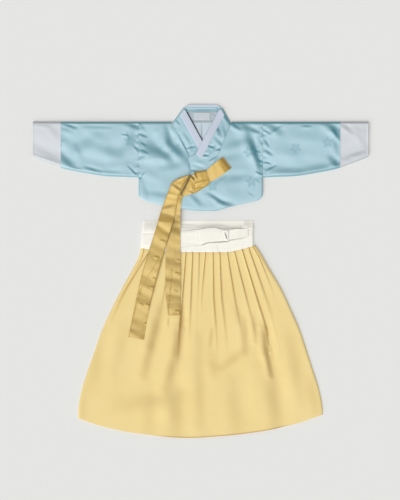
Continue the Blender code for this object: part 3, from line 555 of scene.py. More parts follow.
SLEEVE_FOLDS = {
    Side.RIGHT: (
        *creases(Drop, (
            (-298, 319, -270, 308, 5.4, 1.8), (-274, 259, -227, 284, 18.2, 1.6),
            (-268, 269, -257, 248, 9.7, 1), (-214, 265, -173, 250, 17, 1.9),
            (-175, 250, -152, 280, 14.6, 1.4), (-152, 278, -145, 312, 14.6, 1.7),
            (-168, 294, -157, 292, 2.5, 0.8), (-158, 298, -153, 283, 2.5, 0.7),
            (-300, 248, -272, 220, 12.2, 3.1), (-246, 222, -218, 214, 5.4, 1.5),
            (-214, 214, -176, 212, 5.5, 0.5), (-156, 317, -132, 307, 8.5, 2.1),
            (-154, 224, -134, 203, 3.1, 1.2), (-298, 289, -281, 271, 10.9, 0.8),
            (-298, 308, -278, 302, 8.5, 1.1), (-250, 310, -195, 308, 5.4, 0.5),
            (-143, 269, -132, 256, 3.6, 1.1),
        )),
        *creases(Fold, (
            (-205, 278, -240, 300, 14, 0.7), (-190, 226, -150, 228, 12, 0.6),
        )),
    ),
    Side.LEFT: (
        *creases(Drop, (
            (272, 317, 300, 294, 11, 3.6), (285, 302, 298, 284, 5.4, 1.7),
            (281, 241, 299, 222, 9.7, 2.7), (220, 312, 235, 312, 4.5, 1.2),
            (143, 317, 169, 299, 10.9, 2.1), (149, 297, 173, 312, 5.4, 0.9),
            (154, 216, 214, 214, 10.9, 1.6), (212, 214, 287, 228, 12.2, 1.7),
            (137, 282, 145, 269, 3.6, 1.2), (139, 259, 152, 250, 4.5, 1.4),
            (137, 235, 149, 231, 3.1, 1.1), (141, 216, 160, 226, 3.6, 1.2),
            (287, 284, 293, 256, 8.5, 1), (188, 261, 214, 239, 17, 0.7),
            (137, 302, 149, 295, 3.6, 1),
        )),
        *creases(Fold, (
            (200, 286, 260, 280, 18, 0.7), (166, 250, 256, 246, 16, 0.5),
        )),
    ),
}
CUFF_FOLDS = {
    Side.RIGHT: (
        *creases(Drop, (
            (-358, 248, -302, 233, 8.1, 1.4), (-341, 256, -311, 243, 9, 1),
            (-360, 317, -324, 312, 5.4, 0.8), (-324, 312, -304, 289, 9, 0.5),
        )),
        *creases(Fold, (
            (-330, 306, -312, 286, 12, 0.5),
        )),
    ),
    Side.LEFT: (
        *creases(Drop, (
            (302, 317, 324, 299, 7.2, 1.8), (317, 246, 349, 256, 6.3, 1.4),
            (326, 310, 347, 302, 7.2, 0.5), (302, 243, 321, 239, 5.4, 0.5),
            (336, 297, 352, 271, 7.2, 0.4),
        )),
        *creases(Fold, (
            (330, 300, 344, 276, 12, 0.5),
        )),
    ),
}
COLLAR_FOLDS = {
    Side.RIGHT: (
        *creases(Drop, (
            (-66, 311, -55, 296, 3.5, 1.3), (-53, 325, -46, 316, 3, 0.8),
            (-27, 264, -14, 267, 3, 1.1), (-42, 282, -29, 256, 4, 0.7),
            (-35, 295, -23, 276, 5, 0.6), (-55, 291, -44, 278, 3.5, 0.6),
        )),
    ),
    Side.LEFT: (
        *creases(Drop, (
            (3, 249, 15, 248, 3.2, 1.8), (17, 269, 28, 265, 3.2, 1.7), (35, 260, 45, 263, 3, 1.4),
            (33, 314, 41, 295, 6, 1.8), (44, 345, 62, 317, 4.5, 1.6), (20, 237, 33, 246, 3.2, 1),
            (33, 284, 46, 269, 5, 1), (-10, 231, 5, 226, 5, -1.2), (-20, 216, -8, 216, 3.4, 1),
            (-27, 239, -23, 218, 4, 1), (5, 282, 20, 276, 4, 0.6), (48, 308, 57, 286, 5, 0.9),
        )),
    ),
}
SKIRT_FOLDS = (
    *creases(Drop, (
        (-76, -36, -87, -83, 11.4, 4.8), (-87, -79, -106, -161, 15.2, 6.9),
        (-106, -156, -121, -221, 15.2, 4.4), (-40, -62, -42, -116, 7.7, 5.5),
        (-42, -105, -51, -174, 15.2, 7.8), (-51, -169, -74, -251, 16.4, 5.6),
        (137, -122, 141, -174, 12.6, 7.8), (141, -169, 152, -223, 8.8, 5.9),
        (149, -217, 162, -331, 25.3, 5.6), (94, -105, 96, -174, 11.4, 3),
        (94, -169, 46, -208, 15.2, 3), (-53, -260, -53, -341, 25.3, 5.2),
        (-158, -285, -53, -268, 27.8, 3), (25, -182, 29, -217, 17.7, 2.6),
        (72, -53, 85, -109, 11.4, 2.6), (25, -126, 20, -159, 6.6, 1.9),
        (-216, -126, -233, -245, 22.8, 2.6), (-164, -126, -186, -217, 17.7, 1.9),
        (-3, -148, -1, -331, 17.7, 2.2), (192, -148, 218, -277, 22.8, 2.6),
        (68, -234, 76, -346, 25.3, 3), (-109, -277, -113, -350, 20.2, 1.9),
        (-68, -98, -70, -116, 3.3, 1.9), (113, -96, 119, -148, 8.8, 2.7),
        (-250, -255, -255, -320, 17.7, 1.8), (235, -234, 248, -303, 15.2, 1.8),
    )),
    *creases(Fold, (
        (-20, -140, -26, -320, 24, 1.2), (-170, -130, -200, -320, 26, 0.9),
        (110, -160, 116, -300, 18, 0.9), (178, -130, 196, -250, 20, 0.8),
        (60, -60, 70, -150, 14, 0.7), (-60, -150, -76, -300, 20, 0.7),
    )),
)


def add_node(
    tree: Tree,
    kind: str,
    settings: dict | None = None,
    values: dict | None = None,
    links: dict | None = None,
) -> bpy.types.Node:
    """Add a shader node.

    Args:
        tree: The material's or world's node tree.
        kind: The node's type name without its leading word Shader.
        settings: Properties to set on the node.
        values: Input values, by socket name or number.
        links: Output sockets to link to inputs, by socket name or number.

    Returns:
        The new node.
    """
    node = tree.nodes.new(f"ShaderNode{kind}")
    for name, value in (settings or {}).items():
        setattr(node, name, value)
    for socket, value in (values or {}).items():
        node.inputs[socket].default_value = value
    for socket, source in (links or {}).items():
        tree.links.new(source, node.inputs[socket])
    return node


def add_math(
    tree: Tree, operation: str, *terms: Socket | float
) -> Socket:
    """Add a math node.

    Args:
        tree: The material's node tree.
        operation: What the node works out.
        terms: Its inputs in order, each an output socket or a number.

    Returns:
        The result's socket.
    """
    node = add_node(tree, "Math", {"operation": operation})
    for place, term in zip(node.inputs, terms):
        if isinstance(term, Socket):
            tree.links.new(term, place)
        else:
            place.default_value = term
    return node.outputs[0]


def add_ramp(
    tree: Tree,
    value: Socket,
    start: float,
    end: float,
    low: float = 0.0,
    high: float = 1.0,
) -> Socket:
    """Map a value onto a range that holds at both ends.

    Args:
        tree: The material's node tree.
        value: The value's socket.
        start: Value that gives the low end.
        end: Value that gives the high end.
        low: Result at the start.
        high: Result at the end.

    Returns:
        The result's socket.
    """
    values = {"From Min": start, "From Max": end, "To Min": low, "To Max": high}
    return add_node(tree, "MapRange", values=values, links={"Value": value}).outputs[0]


def linear(code: str) -> tuple[float, float, float, float]:
    """Turn an sRGB hex colour such as #a1b2c3 into linear red, green, blue and alpha.

    Args:
        code: The colour.

    Returns:
        The four channels, each from 0 to 1.
    """
    channels = [int(code[i:i + 2], 16) / 255.0 for i in (1, 3, 5)]
    parts = [c / 12.92 if c <= 0.04045 else ((c + 0.055) / 1.055) ** 2.4 for c in channels]
    return (*parts, 1.0)


@dataclass(frozen=True)
class Weave:
    """What a weave gives its shader; the roughness is a number where it is even."""

    colour: Socket
    height: Socket
    roughness: Socket | float


@dataclass(frozen=True)
class WovenFinish:
    """A woven cloth: two sets of threads, slubs in its colour and a soft surface.

    Threads are a little coarser than real ones, so that they show in a close view. The painted
    shade colour is mixed in where shade is painted on folds and edges, which are made duller too.
    """

    name: str
    colour: str
    shade: str
    roughness: float
    ior: float = 1.5
    gloss_tint: str = "#ffffff"
    sheen: float = 0.15
    sheen_tint: str = "#ffffff"
    specular: float = 0.35
    thread_mm: float = 0.7
    thread_depth: float = 0.12
    slub_share: float = 0.35
    painted_shade_colour: str = "#808080"

    def material(self) -> bpy.types.Material:
        """Build the finish's material.

        Returns:
            The material.
        """
        made = bpy.data.materials.new(self.name)
        made.use_nodes = True
        tree = made.node_tree
        tree.nodes.clear()
        uv = add_node(tree, "UVMap", settings={"uv_map": "cloth"}).outputs["UV"]
        weave = self.weave(tree, uv)
        # Painted shade: this attribute mixes the colour toward the painted shade colour and dulls the gloss
        painted_shade = add_node(tree, "Attribute", {"attribute_name": "painted_shade"}).outputs["Fac"]
        shaded = add_node(
            tree, "Mix", {"data_type": "RGBA"}, values={7: linear(self.painted_shade_colour)},
            links={0: painted_shade, 6: weave.colour},
        )
        bump = add_node(
            tree, "Bump", values={"Strength": 0.5, "Distance": self.thread_depth * MM},
            links={"Height": weave.height},
        )
        dulled = add_ramp(tree, painted_shade, 0.6, 1.1, 0.3, 0.95)
        shader = add_node(
            tree, "BsdfPrincipled",
            values={
                "IOR": self.ior, "Specular IOR Level": self.specular,
                "Specular Tint": linear(self.gloss_tint),
                "Sheen Weight": self.sheen, "Sheen Roughness": 0.45,
                "Sheen Tint": linear(self.sheen_tint),
            },
            links={
                "Base Color": shaded.outputs[2], "Normal": bump.outputs["Normal"],
                "Roughness": add_math(tree, "MAXIMUM", dulled, weave.roughness),
            },
        )
        add_node(tree, "OutputMaterial", links={"Surface": shader.outputs["BSDF"]})
        return made

    def weave(self, tree: Tree, uv: Socket) -> Weave:
        """Add the threads and slubs.

        Args:
            tree: The material's node tree.
            uv: The cloth's own coordinates, in metres.

        Returns:
            The weave's sockets.
        """
        across = self.threads(tree, uv, "X")
        along = self.threads(tree, uv, "Y")
        stretch = add_node(tree, "Mapping", values={"Scale": (900.0, 60.0, 1.0)}, links={"Vector": uv})
        slub = add_node(
            tree, "TexNoise", values={"Scale": 1.0, "Detail": 3.0}, links={"Vector": stretch.outputs[0]},
        )
        cloud = add_node(tree, "TexNoise", values={"Scale": 9.0, "Detail": 2.0}, links={"Vector": uv})
        mixed = add_math(tree, "MULTIPLY_ADD", slub.outputs[0], 0.6, cloud.outputs[0])
        share = add_ramp(tree, mixed, 0.55, 1.05, high=self.slub_share)
        colour = add_node(
            tree, "Mix", {"data_type": "RGBA"},
            values={6: linear(self.colour), 7: linear(self.shade)}, links={0: share},
        )
        return Weave(colour.outputs[2], add_math(tree, "MAXIMUM", across, along), self.roughness)

    def threads(
        self, tree: Tree, uv: Socket, axis: str
    ) -> Socket:
        """Add one set of threads that cross an axis of the cloth's own coordinates.

        Args:
            tree: The material's node tree.
            uv: The cloth's own coordinates, in metres.
            axis: The axis that the threads cross, X or Y.

        Returns:
            The threads' height.
        """
        per_metre = 1.0 / (self.thread_mm * MM)
        wave = add_node(
            tree, "TexWave", {"bands_direction": axis},
            values={"Scale": per_metre / 10.0 * math.pi, "Distortion": 0.6, "Detail Scale": 2.0},
            links={"Vector": uv},
        )
        return wave.outputs["Fac"]


@dataclass(frozen=True)
class BlossomSatin(WovenFinish):
    """Jacquard satin: blossoms woven in nearly the ground's own colour show as a duller gloss."""

    spacing_mm: float = 84.0
    petals: int = 5
    petal_mm: float = 12.5
    empty_share: float = 0.3
    motif_roughness: float = 0.62
    motif_colour: str = "#4f93a4"
    motif_share: float = 0.24

    def weave(self, tree: Tree, uv: Socket) -> Weave:
        """Add the ground's threads, with the blossoms over them.

        Args:
            tree: The material's node tree.
            uv: The cloth's own coordinates, in metres.

        Returns:
            The weave's sockets.
        """
        ground = super().weave(tree, uv)
        mask = self.blossoms(tree, uv)
        colour = add_node(
            tree, "Mix", {"data_type": "RGBA"}, values={7: linear(self.motif_colour)},
            links={0: add_math(tree, "MULTIPLY", mask, self.motif_share), 6: ground.colour},
        )
        height = add_math(tree, "MULTIPLY_ADD", mask, 0.8, ground.height)
        roughness = add_ramp(tree, mask, 0.0, 1.0, self.roughness, self.motif_roughness)
        return Weave(colour.outputs[2], height, roughness)

    def blossoms(self, tree: Tree, uv: Socket) -> Socket:
        """Scatter blossoms of five petals, one to a cell, and leave some cells empty.

        Args:
            tree: The material's node tree.
            uv: The cloth's own coordinates, in metres.

        Returns:
            A mask that is 1 on the petals.
        """
        cells = add_node(
            tree, "TexVoronoi", {"voronoi_dimensions": "2D"},
            values={"Scale": 1.0 / (self.spacing_mm * MM), "Randomness": 0.55}, links={"Vector": uv},
        )
        local = add_node(
            tree, "VectorMath", {"operation": "SUBTRACT"}, links={0: uv, 1: cells.outputs["Position"]},
        ).outputs[0]
        parts = add_node(tree, "SeparateXYZ", links={"Vector": local})
        chance = add_node(tree, "SeparateColor", links={"Color": cells.outputs["Color"]})
        radius = add_node(tree, "VectorMath", {"operation": "LENGTH"}, links={0: local}).outputs["Value"]
        angle = add_math(tree, "ARCTAN2", parts.outputs["Y"], parts.outputs["X"])
        turned = add_math(tree, "MULTIPLY_ADD", chance.outputs["Green"], FULL_TURN, angle)
        wave = add_math(tree, "COSINE", add_math(tree, "MULTIPLY", turned, 0.5 * self.petals))
        shortest, longest = 0.48 * self.petal_mm * MM, self.petal_mm * MM
        edge = add_ramp(tree, add_math(tree, "ABSOLUTE", wave), 0.0, 1.0, shortest, longest)
        petal = add_ramp(tree, add_math(tree, "SUBTRACT", edge, radius), -0.0006, 0.0012)
        heart = add_ramp(tree, radius, 0.0012, 0.0024)
        shown = add_math(tree, "GREATER_THAN", chance.outputs["Red"], self.empty_share)
        return add_math(tree, "MULTIPLY", add_math(tree, "MULTIPLY", petal, heart), shown)


# Jacquard satin, filament yarn: a smooth face that glows where it tilts to the light
SATIN_BLUE = BlossomSatin(
    "jacquard_satin_blue", "#90b9c2", "#88b1ba", roughness=0.46, ior=1.95, gloss_tint="#e0e8f1",
    sheen=0.0, specular=1.0, thread_mm=0.5, thread_depth=0.05, slub_share=0.5, painted_shade_colour="#0f7c8b",
)
# Plain-weave lined satin for the cuffs: a cool white with a weaker gloss
SATIN_WHITE = WovenFinish(
    "lined_satin_white", "#c8ccd3", "#c0c6ca", roughness=0.5, ior=1.8, sheen=0.1, specular=0.9,
    thread_mm=0.5, thread_depth=0.05, painted_shade_colour="#929b9e",
)
# Starched cotton strip: smooth, matt and faintly lilac
STARCHED = WovenFinish(
    "starched_cotton_strip", "#c8cfde", "#bfc8d8", roughness=0.55, specular=0.35, thread_mm=0.4,
    thread_depth=0.04, painted_shade_colour="#7d8794",
)
# Plain lining: matt, in the shade of the neck opening
LINING = WovenFinish(
    "plain_lining", "#c6d3dc", "#bdcbd5", roughness=0.6, specular=0.3, thread_mm=0.5, thread_depth=0.05,
    painted_shade_colour="#31434d",
)
# The facing's cloth: the same plain weave in a warmer grey
FACING = replace(LINING, name="plain_facing", colour="#b3bec5", shade="#a9b4bc")
# Woven label tape with nothing on it
LABEL = WovenFinish(
    "label_tape", "#c6ccd3", "#bcc4cd", roughness=0.5, specular=0.4, thread_mm=0.4, thread_depth=0.05,
)
# Satin ribbon: warm gold, glossy across its ripples
GOLD = WovenFinish(
    "satin_ribbon_gold", "#c49b3e", "#b98f33", roughness=0.42, ior=1.9, gloss_tint="#fff0b8",
    sheen=0.0, specular=1.0, thread_mm=0.5, thread_depth=0.05, slub_share=0.5,
    painted_shade_colour="#513408",
)
# Washed cotton: matt off-white, its plain weave just visible close up
COTTON = WovenFinish(
    "washed_cotton", "#f9f6ec", "#f2efe4", roughness=0.85, sheen=0.1, specular=0.2, thread_mm=0.8,
    thread_depth=0.12, painted_shade_colour="#7f7f79",
)
# Fine ramie-like cloth: matt pale yellow with faint slubs down its length
RAMIE = WovenFinish(
    "fine_ramie_yellow", "#f1d999", "#ead08c", roughness=0.75, sheen=0.1, sheen_tint="#fff3d0",
    specular=0.3, thread_mm=0.8, thread_depth=0.1, slub_share=0.6, painted_shade_colour="#b07f33",
)
# Sewing thread: slightly glossy against the cloth
THREAD = WovenFinish("sewing_thread", "#dfe6ea", "#cfd8de", roughness=0.5, specular=0.4, thread_mm=0.3)


@dataclass
class Cloth:
    """A cloth worked out as rows of points of its outer face."""

    name: str
    finish: WovenFinish
    slot: str
    thickness: float = CLOTH
    closed: bool = False
    flip: bool = False
    rows: list[Array] = field(default_factory=list)
    uvs: list[Array] = field(default_factory=list)
    # How much shade is painted at each point of each row
    painted_shades: list[Array] = field(default_factory=list)

    def add(
        self,
        x: Array,
        y: Array,
        z: Array,
        u: Array | None = None,
        v: Array | None = None,
        painted_shade: Array | float = 0.0,
    ) -> None:
        """Add a row of points.

        Args:
            x: Their x.
            y: Their y.
            z: Their height.
            u: The cloth's own coordinate across it, where it isn't x.
            v: The cloth's own coordinate along it, where it isn't y.
            painted_shade: How much shade is painted at each point, from 0 to 1.
        """
        x, y, z = np.broadcast_arrays(np.asarray(x, dtype=float), y, z)
        self.rows.append(np.stack([x, y, z], axis=-1) * MM)
        u = x if u is None else u
        v = y if v is None else v
        u, v = np.broadcast_arrays(np.asarray(u, dtype=float), v)
        self.uvs.append(np.stack([u, v], axis=-1) * MM)
        self.painted_shades.append(np.broadcast_to(np.clip(painted_shade, 0.0, 1.0), x.shape))

    def build(self) -> bpy.types.Object:
        """Make the mesh, give it its thickness and dress it.

        Returns:
            The finished object, which rides on the part's one body.
        """
        faces = self.faces()
        mesh = bpy.data.meshes.new(self.name)
        mesh.from_pydata(np.concatenate(self.rows).tolist(), [], faces.tolist())
        layer = mesh.uv_layers.new(name="cloth")
        layer.data.foreach_set("uv", np.concatenate(self.uvs)[faces.ravel()].ravel())
        # Painted shade: a point attribute that the finish uses to mix in its painted shade colour
        painted_shade = mesh.attributes.new("painted_shade", "FLOAT", "POINT")
        painted_shade.data.foreach_set("value", np.concatenate(self.painted_shades).astype(np.float32))
        mesh.materials.append(FINISHES.material(self.finish))
        mesh.shade_smooth()
        piece = bpy.data.objects.new(self.name, mesh)
        bpy.context.scene.collection.objects.link(piece)
        self.thicken(piece)
        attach(piece, "root")
        LOG.info("%s: %d faces", self.name, len(piece.data.polygons))
        return piece

    def faces(self) -> Array:
        """Join each row to the next with four-sided faces.

        Returns:
            The corners of each face, a row for each.
        """
        starts = np.cumsum([0] + [len(row) for row in self.rows])
        faces = []
        for k, (low_row, high_row) in enumerate(zip(self.rows, self.rows[1:])):
            low, high = starts[k], starts[k + 1]
            count = min(len(low_row), len(high_row))
            i = np.arange(count if self.closed else count - 1)
            j = (i + 1) % count
            quads = np.stack([low + i, low + j, high + j, high + i], axis=-1)
            faces.append(quads[:, ::-1] if self.flip else quads)
        return np.concatenate(faces)

    def thicken(self, piece: bpy.types.Object) -> None:
        """Give the cloth its thickness inwards and keep its cut edges crisp.

        Args:
            piece: The single-layer cloth.
        """
        wall = piece.modifiers.new("wall", "SOLIDIFY")
        wall.thickness = self.thickness * MM
        wall.offset = -1.0
        bpy.ops.object.select_all(action="DESELECT")
        piece.select_set(True)
        bpy.context.view_layer.objects.active = piece
        bpy.ops.object.modifier_apply(modifier=wall.name)
        piece.data.set_sharp_from_angle(angle=math.radians(CRISP_ANGLE))


@dataclass
class FinishRack:
    """Keeps one material for each finish."""

    made: dict[str, bpy.types.Material] = field(default_factory=dict)

    def material(self, finish: WovenFinish) -> bpy.types.Material:
        """Return the finish's material, built the first time that it is asked for."""
        if finish.name not in self.made:
            self.made[finish.name] = finish.material()
        return self.made[finish.name]


FINISHES = FinishRack()


def declare(
    piece: bpy.types.Object,
    node: str,
) -> None:
    """Hide the solid that a piece stands for.

    Args:
        piece: The cloth; not used.
        node: The solid's node.
    """
    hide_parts(node)


def sleeve_height(y: Array, bottom: Array, crown: Array, seam_ridge: float) -> Array:
    """Upper face of a sleeve laid flat, without its creases.

    It falls quickly to the fold along its top, sags above its lower edge, and the lower seam
    stands up in a soft ridge.

    Args:
        y: The points' y.
        bottom: Y of the lower edge.
        crown: Height of the middle.
        seam_ridge: How much of the lower seam's ridge it has, up to 1.

    Returns:
        The height at each point.
    """
    low = 2.0 * FOLD_RADIUS
    from_top, from_bottom = SHOULDER_Y - y, y - bottom
    swell = smoothstep(0.0, SHOULDER_ROLL, from_top)
    swell = swell * smoothstep(0.0, 4.0 + 2.0 * seam_ridge, from_bottom)
    sag = -0.9 * np.exp(-(((from_bottom - 30.0) / 15.0) ** 2))
    seam = 0.4 * seam_ridge * np.exp(-(((from_bottom - 3.6) / 1.8) ** 2))
    return low + (crown + sag - low) * swell + seam


def armhole_height(y: Array) -> Array:
    """Height that a front and a sleeve share along the armhole seam."""
    return sleeve_height(y, SLEEVE_BOTTOM.at(0.0), SLEEVE_CROWN.at(0.0), 1.0)


@dataclass
class Sleeve:
    """A sleeve: one flattened tube from the armhole to the cuff seam."""

    side: Side
    rings: int = 66
    top_points: int = 74

    @property
    def phase(self) -> float:
        """Start of the armhole's gathers."""
        return 0.7 if self.side.is_right else 2.9

    def build(self) -> None:
        """Make the sleeve's cloth."""
        cloth = Cloth(
            f"satin_sleeve_{self.side.value}", SATIN_BLUE, "satin_blue", closed=True,
            flip=not self.side.is_right,
        )
        arm = abs(self.side.armhole)
        for reach in np.linspace(0.06, CUFF_SEAM - arm - 0.1, self.rings):
            ring_row(cloth, self.side, arm + reach, reach, self.crease, self.shade, self.top_points)
        piece = cloth.build()
        declare(
            piece, f"sleeve_{self.side.value}",
        )

    def shade(self, x: Array, y: Array, reach: float) -> Array:
        """Shade painted into the creases and the armhole's gathers at one ring."""
        gathers = seam_shade(np.full_like(y, reach), y, self.phase)
        return fold_shade(SLEEVE_FOLDS[self.side], x, y) + 0.6 * gathers

    def crease(self, x: Array, y: Array, reach: float) -> Array:
        """Creases and the armhole's gathers at one ring."""
        gathers = seam_dip(np.full_like(y, reach), y, 0.65, self.phase)
        return fold_height(SLEEVE_FOLDS[self.side], x, y) + gathers


def ring_row(
    cloth: Cloth,
    side: Side,
    distance: float,
    reach: float,
    crease: Callable[[Array, Array, float], Array],
    shade: Callable[[Array, Array, float], Array],
    top_points: int,
) -> None:
    """Add one section of a flattened sleeve or cuff to its cloth.

    Args:
        cloth: The tube that the section is added to.
        side: The wearer's side.
        distance: The section's distance from the middle.
        reach: Its distance from the armhole.
        crease: Gives the creases' height on the upper face.
        shade: Gives how dark they are there.
        top_points: Points across the upper face.
    """
    r = FOLD_RADIUS
    bottom = float(SLEEVE_BOTTOM.at(reach))
    crown = float(SLEEVE_CROWN.at(reach))
    x = side.out * distance
    under = np.linspace(SHOULDER_Y - r, bottom + r, 26)
    turn = np.pi * np.arange(1, 8) / 8.0
    share = np.linspace(0.0, 1.0, top_points)
    share = share - 0.07 * np.sin(2.0 * np.pi * share)
    upper = bottom + r + (SHOULDER_Y - bottom - 2.0 * r) * share
    from_edge = np.minimum(upper - bottom, SHOULDER_Y - upper)
    ease = smoothstep(1.5, 9.0, from_edge)
    height = sleeve_height(upper, bottom, crown, 1.0 if distance < CUFF_SEAM else 0.0)
    height = height + crease(np.full_like(upper, x), upper, reach) * ease
    height = np.maximum(height, 2.0)
    round_y, round_z = r * np.sin(turn), r - r * np.cos(turn)
    y = np.concatenate([under, bottom + r - round_y, upper, SHOULDER_Y - r + round_y[::-1]])
    z = np.concatenate([np.zeros_like(under), round_z, height, round_z[::-1]])
    v = np.concatenate([
        bottom - (under - bottom), np.full_like(turn, bottom), upper, np.full_like(turn, SHOULDER_Y),
    ])
    dark = shade(np.full_like(upper, x), upper, reach) * ease
    # A thin painted shadow along the lower edge, and painted shade along the shoulder turn
    dark = dark + 0.5 * np.exp(-(((upper - bottom - r) / 1.2) ** 2))
    if distance < CUFF_SEAM:
        dark = dark + side.shoulder_shade(upper)
    # Painted shade on the round turns at the lower edge and along the top
    painted_shade = np.concatenate([0.0 * under, np.full_like(turn, 0.5), dark, np.full_like(turn, 0.8)])
    cloth.add(x, y, z, v=v, painted_shade=painted_shade)


@dataclass
class Cuff:
    """The white cuff at a sleeve's end, with a narrow turned hem."""

    side: Side
    rings: int = 30
    top_points: int = 60
    hem: float = 3.6

    def build(self) -> None:
        """Make the cuff's cloth."""
        cloth = Cloth(
            f"satin_cuff_{self.side.value}", SATIN_WHITE, "satin_white", closed=True,
            flip=not self.side.is_right,
        )
        arm = abs(self.side.armhole)
        for distance in np.linspace(CUFF_SEAM + 0.1, SLEEVE_END, self.rings):
            ring_row(cloth, self.side, distance, distance - arm, self.crease, self.shade, self.top_points)
        declare(
            cloth.build(), f"cuff_{self.side.value}",
        )

    def shade(self, x: Array, y: Array, reach: float) -> Array:
        """Shade painted into the creases, and faintly above the lower edge, at one ring."""
        low = smoothstep(34.0, 6.0, y - float(SLEEVE_BOTTOM.at(reach)))
        return 0.55 * fold_shade(CUFF_FOLDS[self.side], x, y) + 0.14 * low

    def crease(self, x: Array, y: Array, reach: float) -> Array:
        """Creases, the seam's dip and the turned hem at one ring.

        Args:
            x: The points' x.
            y: The points' y.
            reach: Distance from the armhole.

        Returns:
            The height to add at each point.
        """
        from_seam = reach + abs(self.side.armhole) - CUFF_SEAM
        from_end = SLEEVE_END - CUFF_SEAM - from_seam
        height = 0.7 * fold_height(CUFF_FOLDS[self.side], x, y)
        height = height + 0.3 * math.exp(-from_seam / 1.2)
        groove = -0.45 * math.exp(-(((from_end - self.hem) / 0.9) ** 2))
        return height + groove + 0.25 * smoothstep(self.hem, 0.0, from_end)


@dataclass
class JacketBody:
    """One half of the jacket's body: front hem, over the shoulder, to the back hem."""

    side: Side
    columns: int = 52
    overlap_columns: int = 14
    low_rows: int = 38
    high_rows: int = 46

    @property
    def phase(self) -> float:
        """Start of the armhole's gathers."""
        return 5.2 if self.side.is_right else 1.7

    @property
    def cut_width(self) -> float:
        """Width of the half's cloth, with its overlap."""
        return 155.0 if self.side.is_right else 178.0

    def height(self, x: Array, y: Array) -> Array:
        """Outer face of the front.

        Args:
            x: The points' x.
            y: The points' y.

        Returns:
            The height at each point.
        """
        if self.side.is_right:
            sunk = smoothstep(-84.0, -46.0, x)
            covered = 0.6 * smoothstep(-60.0, -30.0, x)
            height = FRONT_HEIGHT + (UNDER_HEIGHT - FRONT_HEIGHT) * sunk
            height = height + fold_height(RIGHT_FRONT_FOLDS, x, y) * (1.0 - covered)
        else:
            raised = smoothstep(92.0, 48.0, x) * smoothstep(322.0, 272.0, y)
            height = FRONT_HEIGHT + (OVER_HEIGHT - FRONT_HEIGHT) * raised
            height = height + fold_height(LEFT_FRONT_FOLDS, x, y)
        from_arm = np.abs(x - self.side.armhole)
        near_arm = smoothstep(17.0, 0.0, from_arm) * smoothstep(190.0, 210.0, y)
        height = height + (armhole_height(y) - height) * near_arm
        along_arm = smoothstep(198.0, 206.0, y)
        height = height + seam_dip(from_arm, y, 0.65, self.phase) * along_arm
        low = 2.0 * FOLD_RADIUS
        height = low + (height - low) * smoothstep(0.0, SHOULDER_ROLL, SHOULDER_Y - y)
        height = height - np.exp(-(y - JACKET_HEM.at(x)) / 2.4)
        return np.maximum(height, 2.6)

    def shade(self, x: Array, y: Array) -> Array:
        """Shade painted on the front where its creases, gathers and shoulder turn from the light.

        Args:
            x: The points' x.
            y: The points' y.

        Returns:
            How dark each point is.
        """
        folds = RIGHT_FRONT_FOLDS if self.side.is_right else LEFT_FRONT_FOLDS
        gathers = seam_shade(np.abs(x - self.side.armhole), y, self.phase)
        gathers = gathers * smoothstep(198.0, 206.0, y)
        shoulder = self.side.shoulder_shade(y)
        # A thin painted shadow along the middle of the hem
        under = smoothstep(-60.0, -30.0, x) * smoothstep(60.0, 30.0, x)
        hem = 0.7 * under * np.exp(-(y - JACKET_HEM.at(x)) / 1.3)
        return fold_shade(folds, x, y) + 0.6 * gathers + shoulder + hem

    def shares(self) -> Array:
        """Shares of a front's width for its columns, closer at the armhole."""
        t = np.linspace(0.0, 1.0, self.columns)
        return t - 0.12 * np.sin(np.pi * t) * (1.0 - t)

    def build(self) -> None:
        """Make the half's cloth, from the front hem round to the back one."""
        cloth = Cloth(
            f"satin_body_{self.side.value}", SATIN_BLUE, "satin_blue", flip=not self.side.is_right,
        )
        self.add_overlap(cloth)
        self.add_chest(cloth)
        self.add_back(cloth)
        node = f"jacket_body_{self.side.value}"
        declare(cloth.build(), node)

    def neck_x(self, y: float) -> float:
        """X of the collar band's outer edge at a y."""
        return float(COLLAR_OUTSIDE[self.side].straight(min(y, NECK_Y)))

    def add_overlap(self, cloth: Cloth) -> None:
        """Add the front below the collar band's end, with the overlap.

        Args:
            cloth: The cloth that the rows are added to.
        """
        end, arm = self.side.collar_end, self.side.armhole
        split = self.neck_x(end)
        for level in np.linspace(0.0, 1.0, self.low_rows):
            straight_y = end + (130.0 - end) * (1.0 - level)
            if self.side.is_right:
                edge = split + 4.0 + 20.0 * float(smoothstep(end, 170.0, straight_y))
            else:
                edge = -26.0 - 20.0 * float(smoothstep(end, 140.0, straight_y))
            beyond = np.linspace(split, edge, self.overlap_columns)[1:]
            x = np.concatenate([arm + (split - arm) * self.shares(), beyond])
            hem = JACKET_HEM.at(x)
            y = hem + (end - 0.3 - hem) * level
            cloth.add(x, y, self.rolled(x, y), painted_shade=self.shade(x, y))

    def add_chest(self, cloth: Cloth) -> None:
        """Add the front beside the collar band.

        Args:
            cloth: The cloth that the rows are added to.
        """
        end, arm = self.side.collar_end, self.side.armhole
        top = SHOULDER_Y - 2.6
        for y in np.concatenate([[end + 0.9], np.linspace(end + 3.0, top, self.high_rows)]):
            neck = self.neck_x(y) + 0.2 * self.side.out
            x = arm + (neck - arm) * self.shares()
            level_y = np.full_like(x, y)
            cloth.add(x, y, self.height(x, level_y), painted_shade=self.shade(x, level_y))

    def add_back(self, cloth: Cloth) -> None:
        """Add the turn along the shoulder and the flat back.

        Args:
            cloth: The cloth that the rows are added to.
        """
        arm, out, r = self.side.armhole, self.side.out, FOLD_RADIUS
        neck = self.neck_x(NECK_Y) + 1.6 * out
        x = arm + (neck - arm) * self.shares()
        for turn in np.pi * np.arange(0, 9) / 8.0:
            y = SHOULDER_Y - r + r * math.sin(turn)
